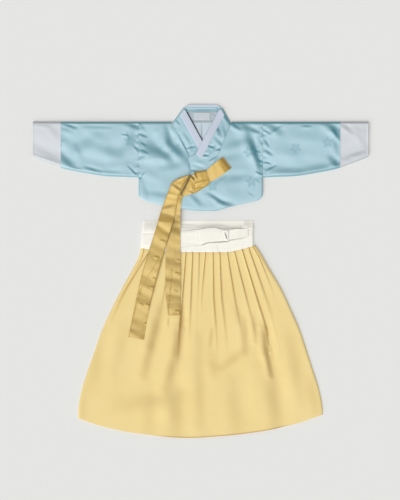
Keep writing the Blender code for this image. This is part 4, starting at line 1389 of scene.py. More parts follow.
            # Painted shade on the turn over the shoulder
            cloth.add(x, y, r + r * math.cos(turn), v=SHOULDER_Y + r * turn, painted_shade=0.8)
        centre = CENTRE_BACK_X + 0.15 * out
        x = np.concatenate([x, np.linspace(neck, centre, self.overlap_columns)[1:]])
        top, hem = NECKLINE_BACK_Y - 2.6, JACKET_HEM.at(x) + 0.6
        for level in np.linspace(0.0, 1.0, 30):
            y = top + (hem - top) * level
            cloth.add(x, y, 0.0, v=2.0 * SHOULDER_Y - y)

    def rolled(self, x: Array, y: Array) -> Array:
        """Height below the collar's end, with the open side edge rolled down to the back.

        Args:
            x: The points' x.
            y: The points' y.

        Returns:
            The height at each point.
        """
        roll = np.clip(np.abs(x - self.side.armhole) / 3.0, 0.0, 1.0)
        rise = np.sqrt(1.0 - (1.0 - roll) ** 2)
        open_side = smoothstep(UNDERARM_Y + 10.0, UNDERARM_Y - 8.0, y)
        bottom = BACK_TOP + 0.9
        full = self.height(x, y)
        return full - (full - bottom) * (1.0 - rise) * open_side


@dataclass
class Collar:
    """A front stretch of the collar band and the white strip along its inner edge."""

    side: Side
    rows: int = 92
    strip_rows: int = 78
    band_top: float = 349.5
    neck_roll: float = 3.5
    strip_width: float = 17.4
    strip_margin: float = 4.2
    slant: float = 1.12

    @property
    def phase(self) -> float:
        """Start of the gathers along the band's outer seam."""
        return 0.4 if self.side.is_right else 3.3

    def band_height(self, y: Array | float) -> Array:
        """Height of the band: level on the under side, climbing where it crosses on the other."""
        if self.side.is_right:
            return 3.7 + (UNDER_HEIGHT - 3.7) * smoothstep(340.0, 300.0, y)
        return 3.9 + (OVER_HEIGHT - 3.9) * smoothstep(336.0, 286.0, y)

    def edge_shade(self, y: float) -> Array:
        """Shade painted along the band's outer edge: its seam to the front, then its roll at the neck."""
        if self.side.is_right:
            return 0.9 * smoothstep(305.0, 292.0, y) * smoothstep(238.0, 246.0, y) + 0.25
        return 0.3 + 0.65 * smoothstep(306.0, 322.0, y)

    def build(self) -> None:
        """Make the band and its strip."""
        self.build_band()
        self.build_strip()

    def build_band(self) -> None:
        """Make the band, rolled over at the side of the neck above the shoulder."""
        cloth = Cloth(
            f"satin_collar_{self.side.value}", SATIN_BLUE, "satin_blue", flip=not self.side.is_right,
        )
        turn = np.linspace(0.0, 0.5 * np.pi, 9)
        inset = np.concatenate([1.0 - np.cos(turn), np.ones(26)])
        rise = np.concatenate([np.sin(turn), np.ones(26)])
        flat = np.concatenate([np.zeros(9), np.linspace(0.0, 1.0, 27)[1:]])
        for y in np.linspace(self.side.collar_end + 0.2, self.band_top, self.rows):
            outer = float(COLLAR_OUTSIDE[self.side].straight(y))
            inner = float(COLLAR_INSIDE[self.side].straight(y))
            width = abs(inner - outer)
            roll = min(self.neck_roll, 0.6 * width)
            over = float(smoothstep(NECK_Y - 1.0, NECK_Y + 6.0, y))
            across = inset * roll + flat * (width - roll)
            height = float(self.band_height(y)) + 0.35 * np.sin(np.pi * across / width)
            level_y = np.full_like(across, y)
            height = height + seam_dip(across, level_y, 0.3, self.phase) * (1.0 - over)
            x = outer + math.copysign(1.0, inner - outer) * across
            creased = fold_height(COLLAR_FOLDS[self.side], x, level_y)
            height = height + creased * smoothstep(0.0, 3.0, across)
            z = height * (1.0 - over * (1.0 - rise))
            # Shade painted into the creases and along the band's outer edge
            dark = fold_shade(COLLAR_FOLDS[self.side], x, level_y)
            dark = dark + float(self.edge_shade(y)) * np.exp(-((across / 2.1) ** 2))
            cloth.add(x, y, z, u=across, v=y * self.slant, painted_shade=dark)
        declare(
            cloth.build(), f"collar_{self.side.value}",
        )

    def strip_edges(self, y: float) -> tuple[float, float]:
        """Find the white strip's edges. The wearer's left one ends in a slanting point.

        Args:
            y: Height on the collar.

        Returns:
            X of its inner edge and of its outer one.
        """
        inside = COLLAR_INSIDE[self.side]
        outside = float(COLLAR_OUTSIDE[self.side].straight(y))
        if self.side.is_right:
            inner = float(inside.straight(y))
            return inner, max(inner - self.strip_width, outside + self.strip_margin)
        slant_y, slant_x = 252.0, -9.7
        cross_y, cross_x = 279.2, 3.9
        end_y = 243.6
        inner = float(inside.straight(max(y, slant_y)))
        start = inner if y >= slant_y else slant_x + 1.3 * (slant_y - y)
        line = inner if y >= cross_y else cross_x - 0.497 * (cross_y - y)
        stop = min(line + self.strip_width, outside - self.strip_margin)
        if y < slant_y - 3.0:
            stop = min(stop, start + 2.0 + 1.9 * (y - end_y))
        return start, stop

    def build_strip(self) -> None:
        """Make the white strip, its inner edge wrapped down over the band's."""
        cloth = Cloth(
            f"collar_strip_cloth_{self.side.value}", STARCHED, "collar_white", thickness=0.6,
            flip=self.side.is_right,
        )
        low = 236.0 if self.side.is_right else 243.6
        across = np.concatenate([[0.0, 0.0, 0.02, 0.06], np.linspace(0.12, 0.95, 12), [1.0]])
        drop = np.concatenate([[1.5, 0.8, 0.25, 0.05], np.zeros(12), [0.35]])
        for y in np.linspace(low, 346.0, self.strip_rows):
            start, stop = self.strip_edges(y)
            x = start - 0.4 * self.side.out + (stop - start) * across
            z = float(self.band_height(y)) + 1.1 - drop + 0.12 * np.sin(np.pi * across)
            cloth.add(x, y, z, u=self.strip_width * across, v=y * self.slant)
        declare(
            cloth.build(), f"collar_strip_{self.side.value}",
        )


def strip_shadow(x: Array, y: Array) -> Array:
    """Painted shadow under the inner edge of the wearer's right collar strip.

    Args:
        x: The points' x.
        y: Their y.

    Returns:
        How dark each point is.
    """
    edge_x = COLLAR_INSIDE[Side.RIGHT].straight(y)
    width = 1.9 + 0.9 * smoothstep(285.0, 340.0, y)
    return 1.2 * np.exp(-(((x - edge_x - 0.7) / width) ** 2)) * smoothstep(352.0, 346.0, y)


@dataclass(frozen=True)
class PanelEdge:
    """A side edge of a panel inside the neck, with a step outwards or inwards where it has one."""

    line: Curve
    shift: float = 0.0
    step: float = 0.0

    def at(self, y: float) -> float:
        """X of the edge at a y."""
        return float(self.line.straight(y)) + self.shift + self.step * float(smoothstep(353.0, 358.0, y))


@dataclass(frozen=True)
class Panel:
    """A level panel inside the neck, with its own small creases."""

    name: str
    node: str
    finish: WovenFinish
    slot: str
    low: float
    high: float
    left: PanelEdge
    right: PanelEdge
    height: float
    thickness: float
    flat: tuple[float, float]
    rests_on: tuple[str, ...] = ()
    folds: tuple[Crease, ...] = ()
    area: float | None = None

    def build(self) -> None:
        """Make the panel from its lowest row to its highest."""
        cloth = Cloth(self.name, self.finish, self.slot, thickness=self.thickness)
        least = 0.05 - self.height + self.thickness
        for y in np.linspace(self.low, self.high, max(8, int((self.high - self.low) / 1.1))):
            x = np.linspace(self.left.at(y), self.right.at(y), 60)
            level_y = np.full_like(x, y)
            z = self.height + np.maximum(fold_height(self.folds, x, level_y), least)
            # Shade painted into the creases, and the painted shadow under the collar strip's edge
            shade = 1.3 * fold_shade(self.folds, x, level_y) + strip_shadow(x, level_y)
            cloth.add(x, y, z, painted_shade=shade)
        declare(cloth.build(), self.node)


@dataclass
class BackNeck:
    """What shows inside the neck opening: the collar's back, facing, bare label and lining."""

    inset: float = 1.8
    wall: float = 0.7
    facing_low: float = NECKLINE_BACK_Y + 0.3
    facing_high: float = 342.0
    lining_low: float = 262.0
    lining_high: float = NECKLINE_BACK_Y - 0.3
    dent: Crease = Fold(-38, 352, 5, 276, 4.5, -1.7)

    def build(self) -> None:
        """Make the pieces from the table up, then sew the label down."""
        for panel in (
            self.collar_back(), self.strip_back(), self.facing(), self.label(), self.lining(),
        ):
            panel.build()
        LabelStitches().build()

    def collar_back(self) -> Panel:
        """The collar band's back stretch."""
        return Panel(
            "satin_collar_back", "collar_back", SATIN_BLUE, "satin_blue", NECKLINE_BACK_Y + 0.15,
            COLLAR_TOP_Y, PanelEdge(COLLAR_OUTSIDE[Side.RIGHT], self.inset),
            PanelEdge(COLLAR_OUTSIDE[Side.LEFT], -self.inset), BACK_TOP, 1.0, (124.0, 40.0),
            folds=creases(Fold, ((-24, 350, 34, 349.5, 2.4, 0.4), (-29, 346.6, 37, 347.2, 2, -2))),
        )

    def strip_back(self) -> Panel:
        """The white strip's back stretch, its top corners drawn in."""
        low, width, length = 352.4, 72.0, 11.0
        return Panel(
            "collar_strip_cloth_back", "collar_strip_back", STARCHED, "collar_white", low,
            COLLAR_TOP_Y, PanelEdge(Curve(((low, -31.5), (COLLAR_TOP_Y, -31.5))), step=6.0),
            PanelEdge(Curve(((low, 42.0), (COLLAR_TOP_Y, 42.0))), step=-7.0), INSIDE_TOP, self.wall,
            (width, length), ("collar_back",), area=width * 6.5,
        )

    def facing(self) -> Panel:
        """The facing under the collar's back."""
        return Panel(
            "facing_cloth", "neck_facing", FACING, "lining", self.facing_low, self.facing_high,
            PanelEdge(Curve(((self.facing_low, -46.0), (self.facing_high, -33.0)))),
            PanelEdge(Curve(((self.facing_low, 52.0), (self.facing_high, 39.5)))),
            INSIDE_TOP, self.wall, (88.0, 22.0), ("collar_back",),
            (self.dent, *creases(Fold, (
                (-26, 323.5, 30, 324.5, 2.4, -0.6), (-30, 330, -16, 338, 3, 0.5),
                (22, 338, 34, 328, 3, 0.5),
            ))),
        )

    def label(self) -> Panel:
        """The bare label on the facing."""
        low, high, left, right = 324.0, 341.0, -14.0, 20.0
        return Panel(
            "label_tape_piece", "neck_label", LABEL, "label", low, high,
            PanelEdge(Curve(((low, left), (high, left)))), PanelEdge(Curve(((low, right), (high, right)))),
            INSIDE_TOP + 1.1, 0.5, (right - left, high - low), ("neck_facing",),
            creases(Fold, ((-10, 326, 16, 339, 5, 0.25),)),
        )

    def lining(self) -> Panel:
        """The back lining that shows in the neck opening, with its centre seam."""
        width, length = 100.0, 58.0
        return Panel(
            "lining_cloth", "back_lining", LINING, "lining", self.lining_low, self.lining_high,
            PanelEdge(Curve(((self.lining_low, -14.0), (self.lining_high, -47.0)))),
            PanelEdge(Curve(((self.lining_low, 22.0), (self.lining_high, 53.0)))),
            INSIDE_TOP, self.wall, (width, length), ("jacket_body_right", "jacket_body_left"),
            (self.dent, *creases(Fold, (
                (CENTRE_BACK_X, 318, CENTRE_BACK_X + 0.4, 280, 1.4, -0.7), (-4, 312, -2, 292, 3.4, 0.6),
                (-26, 316, -16, 300, 6, -0.5), (16, 312, 8, 290, 5, 0.5), (-12, 300, -4, 286, 3, -0.5),
            ))),
            area=0.68 * width * length,
        )


@dataclass
class LabelStitches:
    """Small stitches along both ends of the label, modelled once and copied into one mesh."""

    name: str = "label_stitches"
    ends: tuple[float, float] = (-12.6, 18.6)
    low: float = 325.6
    high: float = 340.4
    pitch: float = 2.3
    length: float = 1.4
    radius: float = 0.28
    height: float = INSIDE_TOP + 1.25

    def build(self) -> None:
        """Make the stitches."""
        bpy.ops.object.select_all(action="DESELECT")
        bpy.ops.mesh.primitive_uv_sphere_add(segments=8, ring_count=6, radius=1.0)
        row = bpy.context.active_object
        row.name = self.name
        ball = row.data
        shape = np.array([vertex.co[:] for vertex in ball.vertices])
        shape = shape * (self.radius, 0.5 * self.length, self.radius)
        middles = [(x, y, self.height) for x in self.ends for y in np.arange(self.low, self.high, self.pitch)]
        points = np.concatenate([shape + middle for middle in middles]) * MM
        starts = range(0, len(points), len(shape))
        faces = [tuple(start + i for i in face.vertices) for start in starts for face in ball.polygons]
        mesh = bpy.data.meshes.new(self.name)
        mesh.from_pydata(points.tolist(), [], faces)
        uv = mesh.uv_layers.new(name="cloth")
        uv.data.foreach_set("uv", np.array([points[loop.vertex_index][:2] for loop in mesh.loops]).ravel())
        mesh.shade_smooth()
        mesh.materials.append(FINISHES.material(THREAD))
        row.data = mesh
        bpy.data.meshes.remove(ball)
        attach(row, "root")
        LOG.info("%s: %d stitches", self.name, len(middles))


@dataclass(frozen=True)
class Station:
    """A place on a ribbon's centre line, its width there and its rise over what it lies on."""

    x: float
    y: float
    width: float
    rise: float


@dataclass(frozen=True)
class Crossing:
    """A line across a ribbon, from its right edge to its left one, and its rise."""

    right_x: float
    right_y: float
    left_x: float
    left_y: float
    rise: float


LONG_TAIL = (
    Crossing(-21.5, 209, -25.5, 206, 3.2), Crossing(-31, 195.5, -44, 200, 3.2),
    Crossing(-38.5, 183, -61, 190.5, 2.9), Crossing(-43.5, 171.5, -67, 176, 2.3),
    Crossing(-48.3, 156.5, -76, 154, 1.5), Crossing(-54.5, 120, -86.5, 124, 1.5),
    Crossing(-62.8, 92.4, -92.8, 101.6, 1.5), Crossing(-80.6, 33.2, -111.4, 41.8, 1.4),
    Crossing(-95, -18.5, -127, -10.3, 0.6), Crossing(-110, -81.9, -141.4, -75.1, 0),
    Crossing(-121.8, -147.4, -155, -140.6, 0),
)
SHORT_TAIL = (
    Station(-9, 190, 14, -0.6), Station(-33, 179, 18, -0.6), Station(-50, 160, 24, -0.4),
    Station(-57, 135, 29, 0), Station(-58.5, 100, 31, 0), Station(-58.8, 58, 31, 0),
    Station(-59.2, -36, 32.5, 0), Station(-56.5, -94.5, 26, 0),
)
BOW_LOOP = (
    Station(0.5, 192, 16, 0.4), Station(14, 201, 23, 1), Station(33, 215, 29, 1.4),
    Station(56.3, 232.7, 30, 1.2),
)
BOW_TUCK = (
    Crossing(-9, 208, -24.5, 206, 1), Crossing(-9.2, 195, -33.5, 193, 1.7),
    Crossing(-9.2, 180, -43, 176, 1.7), Crossing(-9.4, 168.6, -48.5, 157.8, 1.4),
)
WAIST_LOOP = (
    Station(52, 78, 17, 0.3), Station(30, 78.5, 29, 0.5), Station(8, 76, 30, 0.4),
    Station(-8, 74, 29, 0.1),
)
WAIST_TAIL = (
    Station(56, 78, 14, 0), Station(72, 80, 20.5, 0.3), Station(88, 81.5, 19, 0.1),
    Station(102, 82.5, 16.5, -0.3),
)

# Shade painted on a ribbon at each y, where it turns from the light: none, and the two tails'
NO_PAINTED_SHADE = Curve(((0, 0), (1, 0)))
LONG_TAIL_PAINTED_SHADE = Curve((
    (-150, 0.32), (-110, 0.28), (-60, 0.24), (0, 0.22), (60, 0.23), (76, 0.10),
    (92, 0.06), (100, 0.20), (134, 0.20), (148, 0.03), (212, 0.03),
))
SHORT_TAIL_PAINTED_SHADE = Curve((
    (-96, 0.29), (-40, 0.33), (-10, 0.27), (46, 0.32), (60, 0.15), (70, 0.14),
    (78, 0.32), (116, 0.31), (128, 0.10), (190, 0.09),
))


def smooth_path(table: Array, step: float) -> Array:
    """Read a smooth path through a short table whose first two columns are x and y.

    Args:
        table: Rows of x, y and anything else that changes along the path.
        step: Distance between the path's rows.

    Returns:
        Closer rows of the same columns, and the distance run as the last one.
    """
    table = np.vstack([2 * table[0] - table[1], table, 2 * table[-1] - table[-2]])
    rows = []
    for i in range(1, len(table) - 2):
        before, start, end, after = table[i - 1:i + 3]
        count = max(2, int(np.hypot(*(end - start)[:2]) / step))
        t = (np.arange(count) / count)[:, None]
        bend = 2 * start + (end - before) * t + (2 * before - 5 * start + 4 * end - after) * t * t
        rows.append((bend + (3 * start - before - 3 * end + after) * t ** 3) / 2.0)
    path = np.vstack(rows + [table[-2]])
    run = np.concatenate([[0.0], np.cumsum(np.hypot(*np.diff(path[:, :2], axis=0).T))])
    return np.column_stack([path, run])


def skirt_wave(x: Array, y: Array) -> Array:
    """Broad folds of the skirt below its pleats."""
    return fold_height(SKIRT_FOLDS, x, y) * smoothstep(-40.0, -130.0, y)


def skirt_crest(x: Array, y: Array) -> Array:
    """The height that ribbons on the skirt rest on.

    Args:
        x: The points' x.
        y: The points' y.

    Returns:
        The height at each point.
    """
    deepest = np.zeros(np.shape(x))
    for index in np.ndindex(np.shape(x)):
        near = [p.depth_at(y[index]) for p in PLEATS if abs(p.x_at(y[index]) - x[index]) < 26.0]
        deepest[index] = max(near)
    return PLEAT_BASE + 0.85 * deepest + np.maximum(0.0, skirt_wave(x, y))


def jacket_rest(x: Array, y: Array) -> Array:
    """The level height that the bow rests on, at every point."""
    return np.full(np.broadcast(x, y).shape, OVER_HEIGHT)


def band_rest(x: Array, y: Array) -> Array:
    """The level height that the waist bow rests on, at every point."""
    return np.full(np.broadcast(x, y).shape, BAND_HEIGHT + TIE_RISE)


def ribbon_rest(x: Array, y: Array) -> Array:
    """The height that a ribbon laid down the front rests on.

    Args:
        x: The points' x.
        y: The points' y.

    Returns:
        The height at each point.
    """
    hem, band_top, seam = JACKET_HEM.at(x), BAND_TOP.at(x), WAIST_SEAM.at(x)
    on_jacket = FRONT_HEIGHT - 0.2 + (OVER_HEIGHT - FRONT_HEIGHT + 0.2) * smoothstep(-96.0, -52.0, x)
    over_tie = BAND_HEIGHT + TIE_RISE
    t = np.clip((hem - 9.0 - y) / (hem - band_top - 12.0), 0.0, 1.0)
    bridge = on_jacket + (over_tie - on_jacket) * t - 1.2 * np.sin(np.pi * t)
    on_skirt = skirt_crest(x, y)
    blend = smoothstep(seam + 6.0, seam - 14.0, y)
    return bridge + (on_skirt - over_tie) * blend


@dataclass
class Ribbon:
    """A ribbon laid along a centre line."""

    name: str
    node: str
    stations: Sequence[Station]
    rest: Callable[[Array, Array], Array]
    lift: float
    ripple: float
    phase: float
    finish: WovenFinish = GOLD
    slot: str = "ribbon_gold"
    end_fall: float = 0.5
    top_roll: float = 0.0
    end_shade: float = 0.55
    painted_shade_by_y: Curve = NO_PAINTED_SHADE
    shade_share: float = 1.0
    folds: Sequence[Crease] = ()

    def path(self) -> Array:
        """Rows of x, y, width, rise and distance run along the centre line."""
        return smooth_path(np.array([(s.x, s.y, s.width, s.rise) for s in self.stations]), PATH_STEP)

    def row(self, path: Array, i: int, across: Array) -> tuple[Array, Array]:
        """Points across the ribbon at one place on its path.

        Args:
            path: The ribbon's rows.
            i: The row's number.
            across: Places across the ribbon, nought in its middle.

        Returns:
            The points' x and y.
        """
        back, on = path[max(0, i - 1)], path[min(len(path) - 1, i + 1)]
        length = math.hypot(on[0] - back[0], on[1] - back[1])
        side = ((on[1] - back[1]) / length, -(on[0] - back[0]) / length)
        x = path[i][0] + side[0] * across * path[i][2]
        y = path[i][1] + side[1] * across * path[i][2]
        return x, y

    def waves(self, run: float, across: Array) -> Array:
        """Ripples that cross the ribbon at a slant and are uneven along it.

        Args:
            run: Distance run along the ribbon.
            across: Places across the ribbon, nought in its middle.

        Returns:
            The height to add.
        """
        slant = run + 8.0 * across
        wobble = 1.3 * np.sin(0.045 * slant + self.phase)
        broad = 1.5 * np.sin(0.125 * slant + wobble + self.phase)
        fine = 0.5 * np.sin(0.31 * slant + wobble + 2.0 * self.phase)
        fine = fine * (0.6 + np.sin(0.11 * run) * across)
        edge = 1.0 + 0.5 * np.sin(0.21 * run + self.phase) * across
        return self.ripple * (broad + fine) * edge

    def wave_shade(self, run: float, across: Array) -> Array:
        """Shade painted on the ripples' upper slopes, on a ribbon that runs down the front."""
        return np.clip(2.6 * (self.waves(run + 1.0, across) - self.waves(run, across)), 0.0, 0.5)

    def shade(self, x: Array, y: Array, run: float, across: Array) -> Array:
        """Painted shade of the ribbon down the front, on its ripples and along its folds."""
        ripples = self.shade_share * self.wave_shade(run, across) * smoothstep(0.0, 40.0, run)
        return self.painted_shade_by_y.at(y) + ripples + fold_shade(self.folds, x, y)

    def build(self) -> None:
        """Make the ribbon as a single layer."""
        cloth = Cloth(self.name, self.finish, self.slot, thickness=RIBBON)
        path = self.path()
        across = np.linspace(-0.5, 0.5, 19)
        for i, station in enumerate(path):
            x, y = self.row(path, i, across)
            begun = float(smoothstep(0.0, 40.0, station[4]))
            z = self.rest(x, y) + self.lift + station[3] + self.waves(station[4], across) * begun
            z = z + fold_height(self.folds, x, y)
            dark = self.shade(x, y, station[4], across)
            cloth.add(x, y, z, u=across * station[2], v=station[4], painted_shade=dark)
        declare(cloth.build(), self.node)

    def build_loop(self, gap: float) -> None:
        """Make the ribbon as a loop: out along the top, round its end and back underneath.

        Args:
            gap: Height between the two layers.
        """
        cloth = Cloth(self.name, self.finish, self.slot, thickness=RIBBON)
        path = self.path()
        across = np.linspace(-0.5, 0.5, 19)
        radius = RIBBON + gap / 2.0
        tops = []
        for i, station in enumerate(path):
            x, y = self.row(path, i, across)
            base = self.rest(x, y) + self.lift
            fade = min(1.0, (path[-1][4] - station[4]) / 14.0)
            z = base + 2.0 * radius + station[3] + self.waves(station[4], across) * fade
            turned = float(smoothstep(8.5, 0.0, path[-1][4] - station[4]))
            z = z - self.end_fall * (z - base) * turned
            z = z - self.top_roll * smoothstep(0.22, 0.5, across)
            tops.append((x, y, base, z, station))
            # Painted shade on the loop's turned end
            cloth.add(x, y, z, u=across * station[2], v=station[4], painted_shade=turned * self.end_shade)
        ahead = (path[-1][:2] - path[-3][:2]) / np.hypot(*(path[-1][:2] - path[-3][:2]))
        x, y, low, high, station = tops[-1]
        for turn in np.pi * np.arange(1, 8) / 8.0:
            reach = 1.25 * radius * math.sin(turn)
            z = (high + low) / 2.0 + (high - low) / 2.0 * math.cos(turn)
            cloth.add(
                x + ahead[0] * reach, y + ahead[1] * reach, z, u=across * station[2],
                v=station[4] + radius * turn,
            )
        for x, y, base, _, station in reversed(tops):
            cloth.add(x, y, base, u=across * station[2], v=2.0 * path[-1][4] - station[4])
        declare(cloth.build(), self.node)


@dataclass
class EdgedRibbon(Ribbon):
    """A ribbon given by lines across it, so that it can turn, widen and fold as it likes."""

    edge_roll: float = 0.5

    def path(self) -> Array:
        """Rows of centre, half line to the right edge, rise and distance run."""
        rows = [
            (
                (c.right_x + c.left_x) / 2.0, (c.right_y + c.left_y) / 2.0,
                (c.right_x - c.left_x) / 2.0, (c.right_y - c.left_y) / 2.0, c.rise,
            )
            for c in self.stations
        ]
        return smooth_path(np.array(rows), PATH_STEP)

    def build(self) -> None:
        """Make the ribbon as a single layer, its edges rolled down."""
        cloth = Cloth(self.name, self.finish, self.slot, thickness=RIBBON)
        path = self.path()
        across = np.linspace(-1.0, 1.0, 23)
        widths = 2.0 * np.hypot(path[:, 2], path[:, 3])
        for row, width in zip(path, widths):
            x = row[0] - across * row[2]
            y = row[1] - across * row[3]
            z = self.rest(x, y) + self.lift + row[4] + self.waves(row[5], 0.5 * across)
            z = z + fold_height(self.folds, x, y)
            inset = 0.5 * width * (1.0 - np.abs(across))
            z = z - self.edge_roll * smoothstep(2.6, 0.0, inset)
            dark = self.shade(x, y, row[5], 0.5 * across)
            cloth.add(x, y, z, u=0.5 * across * width, v=row[5], painted_shade=dark)
        declare(
            cloth.build(), self.node,
        )


@dataclass(frozen=True)
class Strap:
    """A knot's band, which arches over the ribbons that it holds."""

    name: str
    node: str
    bottom_left: tuple[float, float]
    bottom_right: tuple[float, float]
    top_left: tuple[float, float]
    top_right: tuple[float, float]
    foot: float
    height: float
    folds: tuple[Crease, ...]
    finish: WovenFinish = GOLD
    slot: str = "ribbon_gold"

    def build(self) -> None:
        """Make the band from its lower end to its upper one."""
        cloth = Cloth(self.name, self.finish, self.slot, thickness=RIBBON)
        turn = np.linspace(0.0, 0.5 * np.pi, 10)
        low = np.stack([0.15 * (1.0 - np.cos(turn)), np.sin(turn)], axis=-1)
        middle = np.stack([np.linspace(0.15, 0.85, 30)[1:-1], np.ones(28)], axis=-1)
        high = np.stack([1.0 - low[::-1, 0], low[::-1, 1]], axis=-1)
        t = np.linspace(0.0, 1.0, 20)[:, None]
        bottom = np.array(self.bottom_left) * (1 - t) + np.array(self.bottom_right) * t
        top = np.array(self.top_left) * (1 - t) + np.array(self.top_right) * t
        length = float(np.hypot(*(top - bottom).mean(axis=0)))
        for share, rise in np.vstack([low, middle, high]):
            point = bottom + (top - bottom) * share
            x, y = point[:, 0], point[:, 1]
            crown = self.height + fold_height(self.folds, x, y) - 0.5 * (2.0 * t[:, 0] - 1.0) ** 4
            # Shade painted into the band's folds
            dark = fold_shade(self.folds, x, y)
            cloth.add(x, y, self.foot + (crown - self.foot) * rise, v=length * share, painted_shade=dark)
        declare(cloth.build(), self.node)


@dataclass
class Ties:
    """The gold ribbons tied in a flat bow with one loop."""

    def build(self) -> None:
        """Make the tails, the loop, the tucked fold and the knot."""
        # Shade painted along each ribbon and its folds, with painted shadow lines where one ribbon lies over
        # another
        Ribbon(
            "ribbon_tail_short", "tie_tail_short", SHORT_TAIL, ribbon_rest, RIBBON_LIFT, 0.3, 1.9,
            painted_shade_by_y=SHORT_TAIL_PAINTED_SHADE, shade_share=0.45,
            folds=(
                Shadow(-57, 112, -73.5, 57, 1.7, 1.3), Fold(-56, 128, -52, 96, 9, -1.2),
                Fold(-53, -4, -46, -7, 2.2, 1.1), Fold(-57, -42, -50, -44, 2.2, 1),
                Fold(-53, -85, -46.5, -87, 2.2, 1), Fold(-50, 24, -45.5, 22, 2, 0.8),
            ),
        ).build()
        EdgedRibbon(
            "ribbon_tail_long", "tie_tail_long", LONG_TAIL, ribbon_rest, RIBBON_LIFT, 0.34, 0.3,
            painted_shade_by_y=LONG_TAIL_PAINTED_SHADE, shade_share=0.45,
            folds=(
                Fold(-98, 31, -91, 28, 2.2, 1.1), Fold(-102, -15, -96.5, -18, 2.2, 1.1),
                Fold(-106, -34, -100, -36, 2.2, 1), Fold(-117, -71.5, -110, -74, 2.2, 1.1),
                Fold(-130, -70, -124, -73.5, 2.2, 0.9), Fold(-118, -112, -114, -115, 2.2, 0.9),
                Fold(-86, 66, -78, 63, 2.2, 0.9),
                Drop(-60, 186, -40, 172, 4, 0.8), Drop(-84, 134, -58, 142, 6, 0.8),
                Drop(-74, 164, -56, 160, 5, -1), Fold(-30, 199, -44, 186, 3, 0.8),
                Drop(-22, 208, -45.5, 160, 1.8, 1.4),
                Shadow(-22.5, 207.5, -38, 184, 1.2, 1),
            ),
        ).build()
        Ribbon(
            "ribbon_loop", "tie_loop", BOW_LOOP, jacket_rest, 0.3, 0.55, 2.4, end_fall=0.62,
        ).build_loop(1.4)
        EdgedRibbon(
            "ribbon_tuck", "tie_tuck", BOW_TUCK, jacket_rest, RIBBON_LIFT, 0.12, 0.9,
            folds=(
                Drop(-20, 204, -11, 194, 3, 1.6), Drop(-30, 186, -36, 164, 5, -1.2),
                Drop(-22, 171, -14, 166, 3.5, 1), Fold(-20, 190, -19, 172, 6, 1),
                Drop(-40, 168, -38, 158, 5, 0.9), Shadow(-20.5, 207, -42, 165, 2.4, 1.6),
            ),
            edge_roll=1.2,
        ).build()
        Strap(
            "ribbon_knot", "tie_knot", (-10.8, 167.5), (19, 186.8), (-14, 213.5), (11.5, 217.5),
            OVER_HEIGHT + 0.6, 12.6,
            (
                Drop(-13, 183, 16, 189, 5, -2.6), Fold(-2, 210, 2, 194, 8, 0.9),
                Drop(-12, 212, -8, 200, 3, 1.4), Fold(-8, 176, 12, 184, 4, 0.6),
            ),
        ).build()


